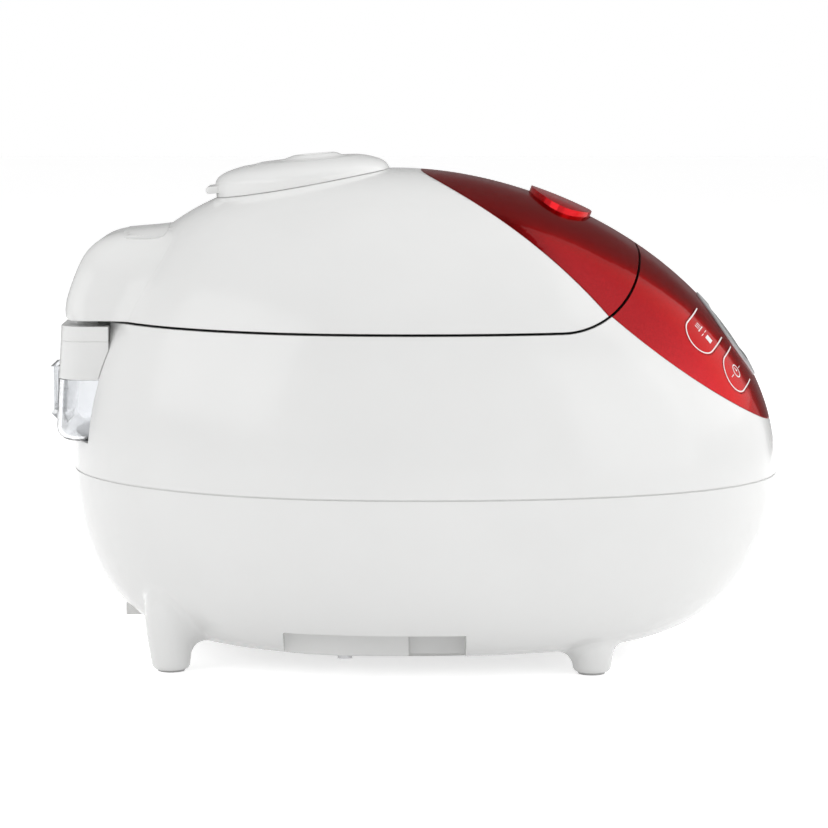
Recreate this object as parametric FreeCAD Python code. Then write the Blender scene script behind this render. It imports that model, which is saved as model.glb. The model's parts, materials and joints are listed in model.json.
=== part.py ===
import FreeCAD, Part
import math
import os

# Rice cooker with a hinged lid, as the separate pieces that it is assembled from.
# Millimetres. +X is the front with the display, +Z is up, and Y = 0 is the mirror plane.
# The origin lies on the table under the middle of the overall box.

V = FreeCAD.Vector
ACROSS_Y = V(0, 1, 0)

# Casing: an egg-shaped plan, widest at the girth, with a dome above and a bowl below
GIRTH_Z = 92.0
CROWN_Z = 239.5
BASE_Z = 10.5
EGG_X = -10.0
NOSE = 191.0
TAIL = 160.5
HALF_WIDTH = 137.0
BASE_NOSE = 114.6
BASE_TAIL = 99.5
BASE_HALF_WIDTH = 90.4
NOSE_PLAN_POWER = 2.5
TAIL_PLAN_POWER = 2.0
DOME_POWERS = (1.86, 2.5, 2.35)
BOWL_POWERS = (2.05, 2.15, 2.1)
PLAN_POINTS = 20
DOME_LEVELS = 9
BOWL_LEVELS = 7
WALL = 2.5
BACKING = 2.0
FIT = 0.2
RUN = 0.4
SEAM_GAP = 0.5
SEAM_TONGUE = 4.0

# Lid parting: level along the sides, then curling up to the front of the dome
PART_Z = 166.9
PART_FRONT_X = 111.0
PART_CURL_R = 42.0
LID_GAP = 1.2
DECK = 3.0
LINER = 2.0

# Where red meets white, seen from the side: one arc on the lid and one on the body
LID_ARC_X = -100.3
LID_ARC_Z = 5.2
LID_ARC_R = 255.3
BODY_ARC_X = 410.2
BODY_ARC_Z = 547.9
BODY_ARC_R = 490.6
COLOUR_GAP = 0.15
COLOUR_STEP = 3.0

# Cooking pot and the chamber round it
POT_X = -34.0
POT_R = 101.0
POT_BOTTOM_Z = 48.0
POT_WALL = 2.0
POT_BEND_R = 28.0
POT_FLANGE_R = 108.0
POT_FLANGE = 2.0
POT_RISE = 1.1
CHAMBER_GAP = 4.5
CHAMBER_WALL = 1.0
CHAMBER_RIM = 6.0
CHAMBER_DEPTH_BELOW_POT = 10.0
PLATE_R = 78.0
PLATE = 6.0
ELEMENT_R = 52.0
ELEMENT_WIRE_R = 3.5
SIDE_HEATER = 1.6
SIDE_HEATER_Z = 96.0
SIDE_HEATER_HEIGHT = 34.0
SENSOR_R = 15.0
SENSOR_TRAVEL = 2.0
SENSOR_SPRING_R = 8.0
SENSOR_SPRING_WIRE = 1.2
SENSOR_SPRING_TURNS = 4
GASKET = 7.0
GASKET_INSET = 1.0
REAR_SCREW_TURN = 40.0

# Rear: hinge neck on the lid, hinge housing, rear cover and the dew collector in one block
HINGE_X = -161.0
HINGE_RISE = 11.1
HINGE_PIN_R = 2.5
HINGE_PIN_HALF = 44.0
HOUSING_DROP = 1.5
POST_INNER_Y = 22.0
POST_WIDTH = 12.0
POST_R = 5.5
BOSS_WIDTH = 6.0
HINGE_SPRING_R = 3.7
HINGE_SPRING_WIRE = 0.9
HINGE_SPRING_TURNS = 16
NECK_REAR_X = -170.2
NECK_TOP_RISE = 43.0
NECK_HALF_WIDTH = 57.0
NECK_TAPER = 9.0
# Side outline of the neck: set-back from its rearmost line, and share of its rise
NECK_SIDE = ((0.6, 0.0), (0.0, 0.14), (2.3, 0.37), (7.2, 0.66), (14.7, 0.86), (25.2, 0.95), (43.0, 0.995))
NECK_CORNER_R = 12.0
NECK_FLARE_R = 20.0
NECK_SINK = 0.8
NECK_POWER = 3.5
BLOCK_REAR_X = -176.3
BLOCK_HALF_WIDTH = 48.5
BLOCK_LEAN = 0.072
BLOCK_FLARE = 0.15
BLOCK_CORNER_R = 12.0
BLOCK_FRONT_X = -148.5
COVER_BOTTOM_Z = 139.2
COVER_TOP_Z = 158.0
DEW_BOTTOM_Z = 108.0
DEW_WALL = 2.0
DEW_FRONT_X = -150.3
DEW_BEND_R = 7.0
DEW_GRIP_REACH = 4.7
DEW_GRIP_HALF = 16.0
DEW_GRIP_BOTTOM_Z = 114.0
DEW_GRIP_TOP_Z = 142.0
DEW_GRIP_WALL = 1.5

# Steam cap, a shallow pebble that leans forward on top of the lid
CAP_X = -56.0
CAP_LENGTH = 43.5
CAP_WIDTH = 41.0
CAP_DROP = 2.2
CAP_HEIGHT = 10.4
CAP_POWER = 2.5
CAP_LEAN = 9.0
CAP_LEVELS = 7
CAP_TILT = -4.9
CAP_WALL = 2.0
CAP_TAB = 4.5
CAP_TAB_HALF = 12.0
CAP_TAB_THICK = 3.5
CAP_TAB_ROUND = 1.5
CAP_SLOT_X = -24.0
CAP_SLOT_LENGTH = 5.0
CAP_SLOT_WIDTH = 15.0
DUCT_R = 13.0
DUCT_WALL = 2.0
SPIGOT_DEPTH = 14.0

# Lid button and latch
BUTTON_X = 72.0
BUTTON_TILT = 22.6
BUTTON_LENGTH = 16.2
BUTTON_WIDTH = 41.0
BUTTON_PROUD = 3.0
BUTTON_TRAVEL = 2.5
BUTTON_FLANGE = 2.5
LATCH_DROP = 24.0
LATCH_PLATE = 2.5
LATCH_HALF = 8.0
LATCH_EAR = 3.0
LATCH_PIVOT_X = 86.0
LATCH_PIVOT_Z = 193.0
LATCH_PIN_R = 2.0
LATCH_TIP_X = 99.0
LATCH_BAR = 5.0
BUTTON_SPRING_R = 4.5
BUTTON_SPRING_WIRE = 0.9
BUTTON_SPRING_TURNS = 5
BUTTON_SPRING_Y = 24.0

# Display, keys and control board, set square to one sloping direction of the front panel
PANEL_Z = 158.0
PANEL_TILT = 53.5
BEZEL_WIDTH = 39.5
BEZEL_LENGTH = 24.7
BEZEL_RING = 8.0
BEZEL_PROUD = 0.8
BEZEL_LIP = 1.0
KEY_R = 10.0
KEY_UPPER = (-15.3, 49.5, 81.0)
KEY_LOWER = (10.0, 45.5, 73.5)
KEY_GAP = 0.2
KEY_TRAVEL = 0.6
KEY_STEM_R = 2.5
SWITCH = 6.0
SWITCH_HEIGHT = 3.5
BOARD_DROP = 20.0
BOARD = 1.6
BOARD_HALF_WIDTH = 66.0
BOARD_LENGTH = 50.0
STANDOFF_R = 3.5
MODULE_INSET = 5.7
MODULE_DEPTH = 8.0

# Underside: feet, finger grips, base cover and power inlet
FOOT_FRONT = (85.0, 80.0)
FOOT_REAR = (-118.0, 73.0)
FOOT_TIP_R = 9.0
FOOT_ROUND = 3.0
FOOT_BLEND_R = 8.0
# Round sections of a leg above its tip: height, radius and lean towards the middle of the base
FOOT_SECTIONS = ((20.0, 12.0, 0.0), (40.0, 14.5, 3.0), (58.0, 11.0, 9.0))
PAD_R = 6.5
PAD_HEIGHT = 2.0
PAD_PROUD = 0.8
GRIP_REAR_X = -62.5
GRIP_FRONT_X = 24.0
GRIP_ROOF_Z = 25.0
GRIP_INNER_Y = 92.0
GRIP_POCKET_X = -3.0
GRIP_POCKET_DEEPER = 6.0
BASE_COVER = 1.8
BASE_COVER_INSET = 8.0
BASE_OPENING_INSET = 24.0
VENT_WIDTH = 4.0
VENT_LENGTH = 36.0
VENT_PITCH = 10.0
VENT_COUNT = 9
INLET_REAR_X = -144.2
INLET_DEPTH = 20.0
INLET_HALF_WIDTH = 21.0
INLET_BOTTOM_Z = 18.0
INLET_HEIGHT = 20.0
INLET_WALL = 2.0
INLET_PIN_R = 2.4
INLET_PIN_PITCH = 12.0
SCREW_R = 1.8
SCREW_HEAD_R = 3.6
SCREW_HEAD = 2.2
POWER_BOARD_Z = 32.0
POWER_BOARD_X = (86.0, 138.0)
POWER_BOARD_HALF = 42.0
# Power parts: middle from the board's middle along X and Y, then length, width and height
TRANSFORMER = (0.0, -21.0, 30.0, 26.0, 24.0)
RELAY = (-6.0, 13.0, 16.0, 18.0, 16.0)
TERMINALS = (-19.0, 23.0, 8.0, 26.0, 12.0)
CAPACITOR_X = 12.0
CAPACITOR_Y = (8.0, 24.0)
CAPACITOR_R = 6.0
CAPACITOR_HEIGHT = 18.0

# Reach of the cutting tools, well past every surface of the cooker
REACH = 3 * NOSE
LEDGE = 0.05


def bulge(share, power):
    """Falls from 1 to 0 along a superellipse quarter."""
    return (1.0 - min(max(share, 0.0), 1.0) ** power) ** (1.0 / power)


def section(z, nose, tail, width):
    """Closed egg-shaped wire at height z."""
    points = []
    for i in range(PLAN_POINTS):
        turn = 2 * math.pi * i / PLAN_POINTS
        c = math.cos(turn)
        s = math.sin(turn)
        power = NOSE_PLAN_POWER if c >= 0 else TAIL_PLAN_POWER
        half = nose if c >= 0 else tail
        x = EGG_X + half * math.copysign(abs(c) ** (2 / power), c)
        y = width * math.copysign(abs(s) ** (2 / power), s)
        points.append(V(x, y, z))
    curve = Part.BSplineCurve()
    curve.interpolate(Points=points, PeriodicFlag=True)
    return Part.Wire(curve.toShape())


made = {}


def dome(inset):
    """Solid under the dome's skin, set in by inset, down to a little below the girth."""
    if ("dome", inset) in made:
        return made["dome", inset]
    sizes = (NOSE - inset, TAIL - inset, HALF_WIDTH - inset)
    rise = CROWN_Z - inset - GIRTH_Z
    wires = [section(GIRTH_Z - 3 * SEAM_TONGUE, *sizes)]
    for level in range(DOME_LEVELS + 1):
        share = math.sin(0.5 * math.pi * level / DOME_LEVELS)
        share = min(share, 1.0 - LEDGE / rise)
        reach = [size * bulge(share, power) for size, power in zip(sizes, DOME_POWERS)]
        wires.append(section(GIRTH_Z + rise * share, *reach))
    made["dome", inset] = Part.makeLoft(wires, True, False, False, 5)
    return made["dome", inset]


def bowl(inset, floor_z):
    """Solid inside the bowl's skin, set in by inset, from floor_z up past the girth."""
    sizes = (NOSE - inset, TAIL - inset, HALF_WIDTH - inset)
    feet = (BASE_NOSE - inset, BASE_TAIL - inset, BASE_HALF_WIDTH - inset)
    wires = []
    for level in range(BOWL_LEVELS + 1):
        share = math.cos(0.5 * math.pi * level / BOWL_LEVELS)
        z = GIRTH_Z - (GIRTH_Z - BASE_Z) * share
        reach = [foot + (size - foot) * bulge(share, power)
                 for size, foot, power in zip(sizes, feet, BOWL_POWERS)]
        wires.append(section(z, *reach))
    wires.append(section(GIRTH_Z + 3 * SEAM_TONGUE, *sizes))
    solid = Part.makeLoft(wires, True, False, False, 5)
    if floor_z > BASE_Z:
        solid = solid.common(slab(floor_z, REACH))
    return solid


def dome_z(x, inset=0.0):
    """Height of the dome's skin over the mirror plane at x."""
    ahead = x >= EGG_X
    half = (NOSE if ahead else TAIL) - inset
    power = DOME_POWERS[0] if ahead else DOME_POWERS[1]
    return GIRTH_Z + (CROWN_Z - inset - GIRTH_Z) * bulge(abs(x - EGG_X) / half, power)


def nose_x(z):
    """Front of the dome's skin at height z on the mirror plane."""
    return EGG_X + NOSE * bulge((z - GIRTH_Z) / (CROWN_Z - GIRTH_Z), DOME_POWERS[0])


def box(x0, x1, y0, y1, z0, z1):
    return Part.makeBox(x1 - x0, y1 - y0, z1 - z0, V(x0, y0, z0))


def slab(z0, z1):
    return box(-REACH, REACH, -REACH, REACH, z0, z1)


def rod(x, y, z0, z1, r):
    return Part.makeCylinder(r, z1 - z0, V(x, y, z0))


def pipe(x, y, z0, z1, r, bore):
    return rod(x, y, z0, z1, r).cut(rod(x, y, z0, z1, bore))


def axle(x, z, half, r):
    """Cylinder along Y, centred on the mirror plane."""
    return Part.makeCylinder(r, 2 * half, V(x, -half, z), ACROSS_Y)


def both_sides(shape):
    """The shape and its mirror image across Y = 0."""
    return [shape, shape.mirror(V(0, 0, 0), ACROSS_Y)]


def across(edges, half):
    """Closed XZ outline, extruded along Y to half on each side."""
    face = Part.Face(Part.Wire(edges))
    face.translate(V(0, -half, 0))
    return face.extrude(V(0, 2 * half, 0))


def polygon(points):
    corners = [V(x, 0, z) for x, z in points]
    return Part.makePolygon(corners + corners[:1]).Edges


def oval(length, width, z0, z1):
    """Elliptical prism with half sizes along X and Y."""
    if length >= width:
        ellipse = Part.Ellipse(V(length, 0, z0), V(0, width, z0), V(0, 0, z0))
    else:
        ellipse = Part.Ellipse(V(0, width, z0), V(-length, 0, z0), V(0, 0, z0))
    return Part.Face(Part.Wire(ellipse.toShape())).extrude(V(0, 0, z1 - z0))


def placed(shape, x, z, tilt):
    """Shape turned about Y by tilt degrees, so that its Z leans to +X, then moved to x, z."""
    out = shape.copy()
    out.rotate(V(0, 0, 0), ACROSS_Y, tilt)
    out.translate(V(x, 0, z))
    return out


def fused(shapes):
    return shapes[0].fuse(shapes[1:]).removeSplitter()


def group(shapes):
    return Part.makeCompound(shapes)


def lid_zone(grow):
    """Everything above the lid parting, with the parting moved outwards by grow."""
    r = PART_CURL_R + grow
    x = PART_FRONT_X - PART_CURL_R
    z = PART_Z + PART_CURL_R
    low = V(x, 0, z - r)
    front = V(x + r, 0, z)
    middle = V(x + r * math.sqrt(0.5), 0, z - r * math.sqrt(0.5))
    corners = [front, V(front.x, 0, REACH), V(-REACH, 0, REACH), V(-REACH, 0, low.z), low]
    edges = [Part.Arc(low, middle, front).toShape()]
    edges += [Part.LineSegment(a, b).toShape() for a, b in zip(corners, corners[1:])]
    return across(edges, REACH)


def lid_white(grow):
    """The white rear part of the lid, behind the colour parting."""
    return axle(LID_ARC_X, LID_ARC_Z, REACH, LID_ARC_R + grow)


def body_red(grow):
    """The red front of the body, above the colour parting."""
    return axle(BODY_ARC_X, BODY_ARC_Z, REACH, BODY_ARC_R + grow)


def block_wire(z, grow, front_x):
    """Outline of the rear block at height z, with rounded rear corners."""
    rear = BLOCK_REAR_X + BLOCK_LEAN * (z - DEW_BOTTOM_Z) - grow
    half = BLOCK_HALF_WIDTH + BLOCK_FLARE * (z - DEW_BOTTOM_Z) + grow
    r = BLOCK_CORNER_R + grow
    bend = r * math.sqrt(0.5)
    corner = V(rear + r, half - r, z)
    points = [V(front_x, half, z), V(rear + r, half, z), V(rear, half - r, z)]
    points += [V(p.x, -p.y, z) for p in reversed(points)]
    edges = [Part.LineSegment(points[0], points[1]).toShape()]
    edges.append(Part.Arc(points[1], corner + V(-bend, bend, 0), points[2]).toShape())
    edges.append(Part.LineSegment(points[2], points[3]).toShape())
    low_corner = V(corner.x, -corner.y, z)
    edges.append(Part.Arc(points[3], low_corner + V(-bend, -bend, 0), points[4]).toShape())
    edges.append(Part.LineSegment(points[4], points[5]).toShape())
    edges.append(Part.LineSegment(points[5], points[0]).toShape())
    return Part.Wire(edges)


def block(z0, z1, grow, front_x):
    """Part of the rear block between two heights, grown sideways and to the rear."""
    return Part.makeLoft([block_wire(z0, grow, front_x), block_wire(z1, grow, front_x)], True, True)


def biarc(p0, t0, p1, t1):
    """Two tangent arcs from p0 to p1."""
    span = p1 - p0
    total = t0 + t1
    a = 2 * (t0.dot(t1) - 1)
    b = -2 * span.dot(total)
    d = (-b - math.sqrt(b * b - 4 * a * span.dot(span))) / (2 * a)
    first = p0 + t0 * d
    second = p1 - t1 * d
    middle = (first + second) * 0.5
    edges = []
    for start, corner, end in ((p0, first, middle), (middle, second, p1)):
        chord = (start + end) * 0.5
        half = (end - start).Length / 2
        sagitta = half * math.tan(math.acos(half / d) / 2)
        top = chord + (corner - chord).normalize() * sagitta
        edges.append(Part.Arc(start, top, end).toShape())
    return edges


def coil(r, wire_d, turns, height):
    """Helical spring standing on Z = 0 about the Z axis, in one unbroken tube."""
    pitch = (height - wire_d) / turns
    steps = 4 * turns
    stations = []
    for i in range(steps + 1):
        turn = 0.5 * math.pi * i
        at = V(r * math.cos(turn), r * math.sin(turn), wire_d / 2 + pitch * i / 4)
        tangent = V(-r * math.sin(turn), r * math.cos(turn), pitch / (2 * math.pi)).normalize()
        stations.append((at, tangent))
    edges = []
    for (p0, t0), (p1, t1) in zip(stations, stations[1:]):
        edges += biarc(p0, t0, p1, t1)
    start, heading = stations[0]
    ring = Part.Wire(Part.Circle(start, heading, wire_d / 2).toShape())
    print("coil gap", round(pitch - wire_d, 2))
    return Part.Wire(edges).makePipeShell([ring], True, False)


# Places worked out from the sizes above
HINGE_Z = PART_Z + HINGE_RISE
LID_Z = PART_Z + LID_GAP
FLANGE_TOP_Z = PART_Z + POT_RISE
CHAMBER_R = POT_R + CHAMBER_GAP
CHAMBER_Z = POT_BOTTOM_Z - CHAMBER_DEPTH_BELOW_POT
CAP_Z = dome_z(CAP_X) - CAP_DROP
BUTTON_Z = dome_z(BUTTON_X)
PANEL_X = nose_x(PANEL_Z)
BACK = WALL + FIT + BACKING
SWEEP_R = HINGE_RISE + HOUSING_DROP - RUN
LINER_R = POT_FLANGE_R + RUN
LINER_TOP_Z = LID_Z + 3.5 * LINER
GASKET_R = POT_FLANGE_R - GASKET_INSET
SENSOR_SEAT_Z = CHAMBER_Z - 2 * PLATE


def on_panel(shape):
    return placed(shape, PANEL_X, PANEL_Z, PANEL_TILT)


def on_button(shape):
    return placed(shape, BUTTON_X, BUTTON_Z, BUTTON_TILT)


def on_cap(shape):
    return placed(shape, CAP_X, CAP_Z, CAP_TILT)


# Body shells

def finger_grip(grow):
    """Space of one finger grip with its deeper pocket, on the +Y side."""
    front = GRIP_FRONT_X + grow
    roof = GRIP_ROOF_Z + grow
    inner = GRIP_INNER_Y - grow
    mouth = box(GRIP_REAR_X - grow, front, inner, REACH, -REACH, roof)
    pocket = box(GRIP_POCKET_X - grow, front, inner - GRIP_POCKET_DEEPER, REACH, -REACH, roof)
    return mouth.fuse(pocket)


def feet_places():
    return [(x, side * y) for x, y in (FOOT_FRONT, FOOT_REAR) for side in (-1, 1)]


def cover_screw_places():
    front = EGG_X + BASE_NOSE - 0.5 * (BASE_COVER_INSET + BASE_OPENING_INSET)
    rear = EGG_X - BASE_TAIL + 0.5 * (BASE_COVER_INSET + BASE_OPENING_INSET)
    side = BASE_HALF_WIDTH - 0.5 * (BASE_COVER_INSET + BASE_OPENING_INSET)
    return [(front, 0.0), (rear, 0.0), (EGG_X - GRIP_FRONT_X, side), (EGG_X - GRIP_FRONT_X, -side)]


def lower_case():
    outer = bowl(0, BASE_Z)
    hollow = bowl(WALL, BASE_Z + WALL)
    legs = [leg(x, y) for x, y in feet_places()]
    housings = [g.common(outer) for g in both_sides(finger_grip(WALL))]
    tub = outer.common(slab(BASE_Z, GIRTH_Z - SEAM_GAP / 2))
    case = blend_legs(tub.fuse(legs)).cut(hollow)
    posts = [rod(x, y, BASE_Z + LEDGE, POWER_BOARD_Z, STANDOFF_R).common(bowl(WALL / 2, BASE_Z))
             for x, y in power_board_posts()]
    case = case.fuse(housings + posts + [seam_tongue()])
    cuts = both_sides(finger_grip(0))
    cuts.append(base_prism(BASE_OPENING_INSET, BASE_Z - WALL, BASE_Z + 2 * WALL))
    cuts += [rod(x, y, 0, PAD_HEIGHT, PAD_R) for x, y in feet_places()]
    cuts += [rod(x, y, 0, BASE_Z + 2 * WALL, SCREW_R) for x, y in cover_screw_places()]
    cuts.append(box(INLET_REAR_X - REACH, INLET_REAR_X + INLET_DEPTH + FIT, -INLET_HALF_WIDTH - FIT,
                    INLET_HALF_WIDTH + FIT, INLET_BOTTOM_Z - FIT, INLET_BOTTOM_Z + INLET_HEIGHT + FIT))
    return case.cut(cuts)


def leg(x, y):
    """One leg with a rounded tip, which swells and then sinks into the bowl."""
    inward = V(EGG_X - x, -y, 0).normalize()
    wires = []
    for z, r, lean in ((PAD_PROUD, FOOT_TIP_R, 0.0),) + FOOT_SECTIONS:
        wires.append(Part.Wire(Part.Circle(V(x, y, z) + inward * lean, V(0, 0, 1), r).toShape()))
    solid = Part.makeLoft(wires, True, False)
    return solid.makeFillet(FOOT_ROUND, [edge for edge in solid.Edges if edge.BoundBox.ZMax < FOOT_ROUND])


def blend_legs(case):
    """Rounds the hollow edges where the legs grow out of the bowl."""
    roots = []
    for edge in case.Edges:
        span = edge.BoundBox
        near = [math.hypot(span.Center.x - x, span.Center.y - y) for x, y in feet_places()]
        if min(near) < FOOT_TIP_R and span.ZMin > FOOT_TIP_R and span.ZLength > FOOT_ROUND:
            roots.append(edge)
    return case.makeFillet(FOOT_BLEND_R, roots)


def seam_tongue():
    """Ring inside the lower case that locates the upper case over the seam."""
    low = GIRTH_Z - 2 * SEAM_TONGUE
    rings = []
    for inset in (WALL - FIT, WALL + RUN, 2 * WALL):
        rings.append(Part.Face(section(low, NOSE - inset, TAIL - inset, HALF_WIDTH - inset)))
    root = rings[0].extrude(V(0, 0, 2 * SEAM_TONGUE - SEAM_GAP / 2))
    tongue = rings[1].extrude(V(0, 0, 3 * SEAM_TONGUE))
    return root.fuse(tongue).cut(rings[2].extrude(V(0, 0, 3 * SEAM_TONGUE)))


def base_prism(inset, z0, z1):
    """Upright prism of the base's outline, set in by inset."""
    outline = section(z0, BASE_NOSE - inset, BASE_TAIL - inset, BASE_HALF_WIDTH - inset)
    return Part.Face(outline).extrude(V(0, 0, z1 - z0))


def base_cover():
    plate = base_prism(BASE_COVER_INSET, BASE_Z - BASE_COVER, BASE_Z)
    first = EGG_X - 0.5 * VENT_PITCH * (VENT_COUNT - 1)
    cuts = [rod(x, y, 0, BASE_Z, SCREW_R) for x, y in cover_screw_places()]
    for i in range(VENT_COUNT):
        x = first + i * VENT_PITCH
        slot = box(x - VENT_WIDTH / 2, x + VENT_WIDTH / 2, VENT_WIDTH, VENT_WIDTH + VENT_LENGTH, 0, BASE_Z)
        cuts += both_sides(slot)
    return plate.cut(cuts)


def cover_screws():
    low = BASE_Z - BASE_COVER
    return group([rod(x, y, low - SCREW_HEAD, low, SCREW_HEAD_R).fuse(
        rod(x, y, low, BASE_Z + WALL, SCREW_R)).removeSplitter() for x, y in cover_screw_places()])


def foot_pads():
    return group([rod(x, y, 0, PAD_HEIGHT, PAD_R) for x, y in feet_places()])


def dew_bay(grow):
    """Bay in the rear of the body that takes the dew collector."""
    return block(DEW_BOTTOM_Z - RUN - grow, COVER_BOTTOM_Z + RUN + grow, RUN + grow, DEW_FRONT_X + RUN + grow)


def hinge_bay():
    """Notch in the rear of the body that takes the hinge housing."""
    return block(COVER_TOP_Z, PART_Z + 2 * DECK, FIT, BLOCK_FRONT_X + FIT)


def panel_cuts(gap):
    """Openings for the display and the four keys, as prisms square to the panel's slope."""
    cuts = [oval(BEZEL_LENGTH - BEZEL_LIP + gap, BEZEL_WIDTH - BEZEL_LIP + gap, -REACH / 8, REACH / 8)]
    for down, start, end in (KEY_UPPER, KEY_LOWER):
        cuts += both_sides(key_outline(down, start, end, gap))
    return [on_panel(cut) for cut in cuts]


def key_outline(down, start, end, gap):
    """Tongue of one key on the +Y side: straight towards the display, round at its outer end."""
    half = KEY_R + gap
    inner = start - gap
    tip = end + gap
    left = V(down - half, inner, 0)
    right = V(down + half, inner, 0)
    bend = V(0, tip - half - inner, 0)
    edges = [Part.LineSegment(left, left + bend).toShape(),
             Part.Arc(left + bend, V(down, tip, 0), right + bend).toShape(),
             Part.LineSegment(right + bend, right).toShape(),
             Part.LineSegment(right, left).toShape()]
    face = Part.Face(Part.Wire(edges))
    face.translate(V(0, 0, -REACH / 8))
    return face.extrude(V(0, 0, REACH / 4))


def board_posts():
    """Stand-offs from the case front to the control board."""
    posts = []
    beside = BEZEL_WIDTH - BEZEL_RING + 2 * STANDOFF_R
    for down in (-BOARD_LENGTH / 2 + 2 * STANDOFF_R, BOARD_LENGTH / 2 - 2 * STANDOFF_R):
        for y in (-beside, beside):
            post = Part.makeCylinder(STANDOFF_R, 2 * BOARD_DROP, V(down, y, -BOARD_DROP))
            posts.append(on_panel(post))
    return posts


def upper_case():
    above = slab(GIRTH_Z + SEAM_GAP / 2, REACH)
    red = body_red(0)
    hollow = dome(WALL).cut(body_red(COLOUR_STEP))
    white = dome(0).common(above).cut([lid_zone(0), red, hollow, dome(BACK)])
    backing = dome(WALL + FIT).common(above).common(red).cut([lid_zone(DECK), dome(BACK)])
    bay = dew_bay(WALL).common(dome(WALL / 2))
    posts = [post.common(dome(WALL + 2 * FIT)) for post in board_posts()]
    case = white.fuse([backing, bay] + posts)
    tall = REACH / 8
    display = oval(BEZEL_LENGTH - BEZEL_RING + RUN, BEZEL_WIDTH - BEZEL_RING + RUN, -tall, tall)
    stems = [Part.makeCylinder(KEY_STEM_R + RUN, tall, V(x, y, -BOARD_DROP)) for x, y in key_stem_places()]
    seat = lid_zone(DECK).common(dome(WALL))
    return case.cut([seat, dew_bay(0), hinge_bay()] + [on_panel(cut) for cut in [display] + stems])


def panel_skin():
    """The red front of the body, one wall thick, inside its colour parting."""
    return dome(0).common(body_red(-COLOUR_GAP)).cut([lid_zone(0), dome(WALL)])


def control_panel():
    return made["panel"].cut(panel_cuts(KEY_GAP))


def key(down, start, end, side):
    """One key, flush with the panel, with a stem to its switch."""
    outline = key_outline(down, start, end, 0)
    x, y = key_stem(down, start, end)
    top = Part.makeCylinder(KEY_STEM_R, REACH / 8, V(x, y, -BOARD_DROP + SWITCH_HEIGHT + KEY_TRAVEL + LEDGE))
    if side < 0:
        outline = both_sides(outline)[1]
        top = both_sides(top)[1]
    cap = made["panel"].common(on_panel(outline)).cut(dome(WALL - KEY_TRAVEL - RUN))
    stem = on_panel(top).common(dome(WALL / 2))
    return fused([cap, stem])


def key_stem(down, start, end):
    return down, 0.5 * (start + end) - KEY_R / 4


def key_stem_places():
    """Stems of all four keys, in the panel's own plane."""
    places = []
    for down, start, end in (KEY_UPPER, KEY_LOWER):
        x, y = key_stem(down, start, end)
        places += [(x, y), (x, -y)]
    return places


def display_bezel():
    tall = REACH / 8
    hole = on_panel(oval(BEZEL_LENGTH - BEZEL_RING, BEZEL_WIDTH - BEZEL_RING, -tall, tall))
    ring = on_panel(oval(BEZEL_LENGTH - BEZEL_LIP, BEZEL_WIDTH - BEZEL_LIP, -tall, tall))
    ring = ring.common(dome(-BEZEL_PROUD / 2)).cut([dome(WALL), hole])
    lip = on_panel(oval(BEZEL_LENGTH, BEZEL_WIDTH, -tall, tall))
    lip = lip.common(dome(-BEZEL_PROUD)).cut([dome(-LEDGE), hole])
    return fused([ring, lip])


def display_window():
    rim = BEZEL_RING + FIT
    pane = on_panel(oval(BEZEL_LENGTH - rim, BEZEL_WIDTH - rim, -REACH / 8, REACH / 8))
    return pane.common(dome(0)).cut(dome(WALL))


def display_module():
    length = BEZEL_LENGTH - BEZEL_RING - MODULE_INSET
    width = BEZEL_WIDTH - BEZEL_RING - MODULE_INSET
    return on_panel(box(-length, length, -width, width, -BOARD_DROP, -MODULE_DEPTH))


def control_board():
    low = -BOARD_DROP - BOARD
    plate = box(-BOARD_LENGTH / 2, BOARD_LENGTH / 2, -BOARD_HALF_WIDTH, BOARD_HALF_WIDTH, low, -BOARD_DROP)
    return on_panel(plate)


def key_switches():
    half = SWITCH / 2
    low = -BOARD_DROP
    return group([on_panel(box(x - half, x + half, y - half, y + half, low, low + SWITCH_HEIGHT))
                  for x, y in key_stem_places()])


def buzzer():
    at = V(0, 0, -BOARD_DROP - BOARD)
    return on_panel(Part.makeCylinder(SWITCH, 1.5 * SWITCH, at, V(0, 0, -1)))


# Power electronics

def power_board_posts():
    x0, x1 = POWER_BOARD_X
    inner = POWER_BOARD_HALF - 2 * STANDOFF_R
    return [(x, side * inner) for x in (x0 + 2 * STANDOFF_R, x1 - 2 * STANDOFF_R) for side in (-1, 1)]


def power_board():
    x0, x1 = POWER_BOARD_X
    return box(x0, x1, -POWER_BOARD_HALF, POWER_BOARD_HALF, POWER_BOARD_Z, POWER_BOARD_Z + BOARD)


def power_parts():
    """Transformer, relay, filter capacitors and terminals on the power board."""
    middle = 0.5 * sum(POWER_BOARD_X)
    top = POWER_BOARD_Z + BOARD
    parts = []
    for x, y, length, width, height in (TRANSFORMER, RELAY, TERMINALS):
        rear = middle + x - length / 2
        parts.append(box(rear, rear + length, y - width / 2, y + width / 2, top, top + height))
    for y in CAPACITOR_Y:
        parts.append(rod(middle + CAPACITOR_X, y, top, top + CAPACITOR_HEIGHT, CAPACITOR_R))
    return group(parts)


# Heating parts

def pot_profile(r, bottom, bend, top):
    """Half outline of a round-bottomed cup about its own axis, in X and Z."""
    low = V(0, 0, bottom)
    start = V(r - bend, 0, bottom)
    middle = V(r - bend + bend * math.sqrt(0.5), 0, bottom + bend - bend * math.sqrt(0.5))
    end = V(r, 0, bottom + bend)
    corners = [end, V(r, 0, top), V(0, 0, top), low, start]
    edges = [Part.Arc(start, middle, end).toShape()]
    edges += [Part.LineSegment(a, b).toShape() for a, b in zip(corners, corners[1:])]
    solid = Part.Face(Part.Wire(edges)).revolve(V(0, 0, 0), V(0, 0, 1), 360)
    solid.translate(V(POT_X, 0, 0))
    return solid


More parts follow.
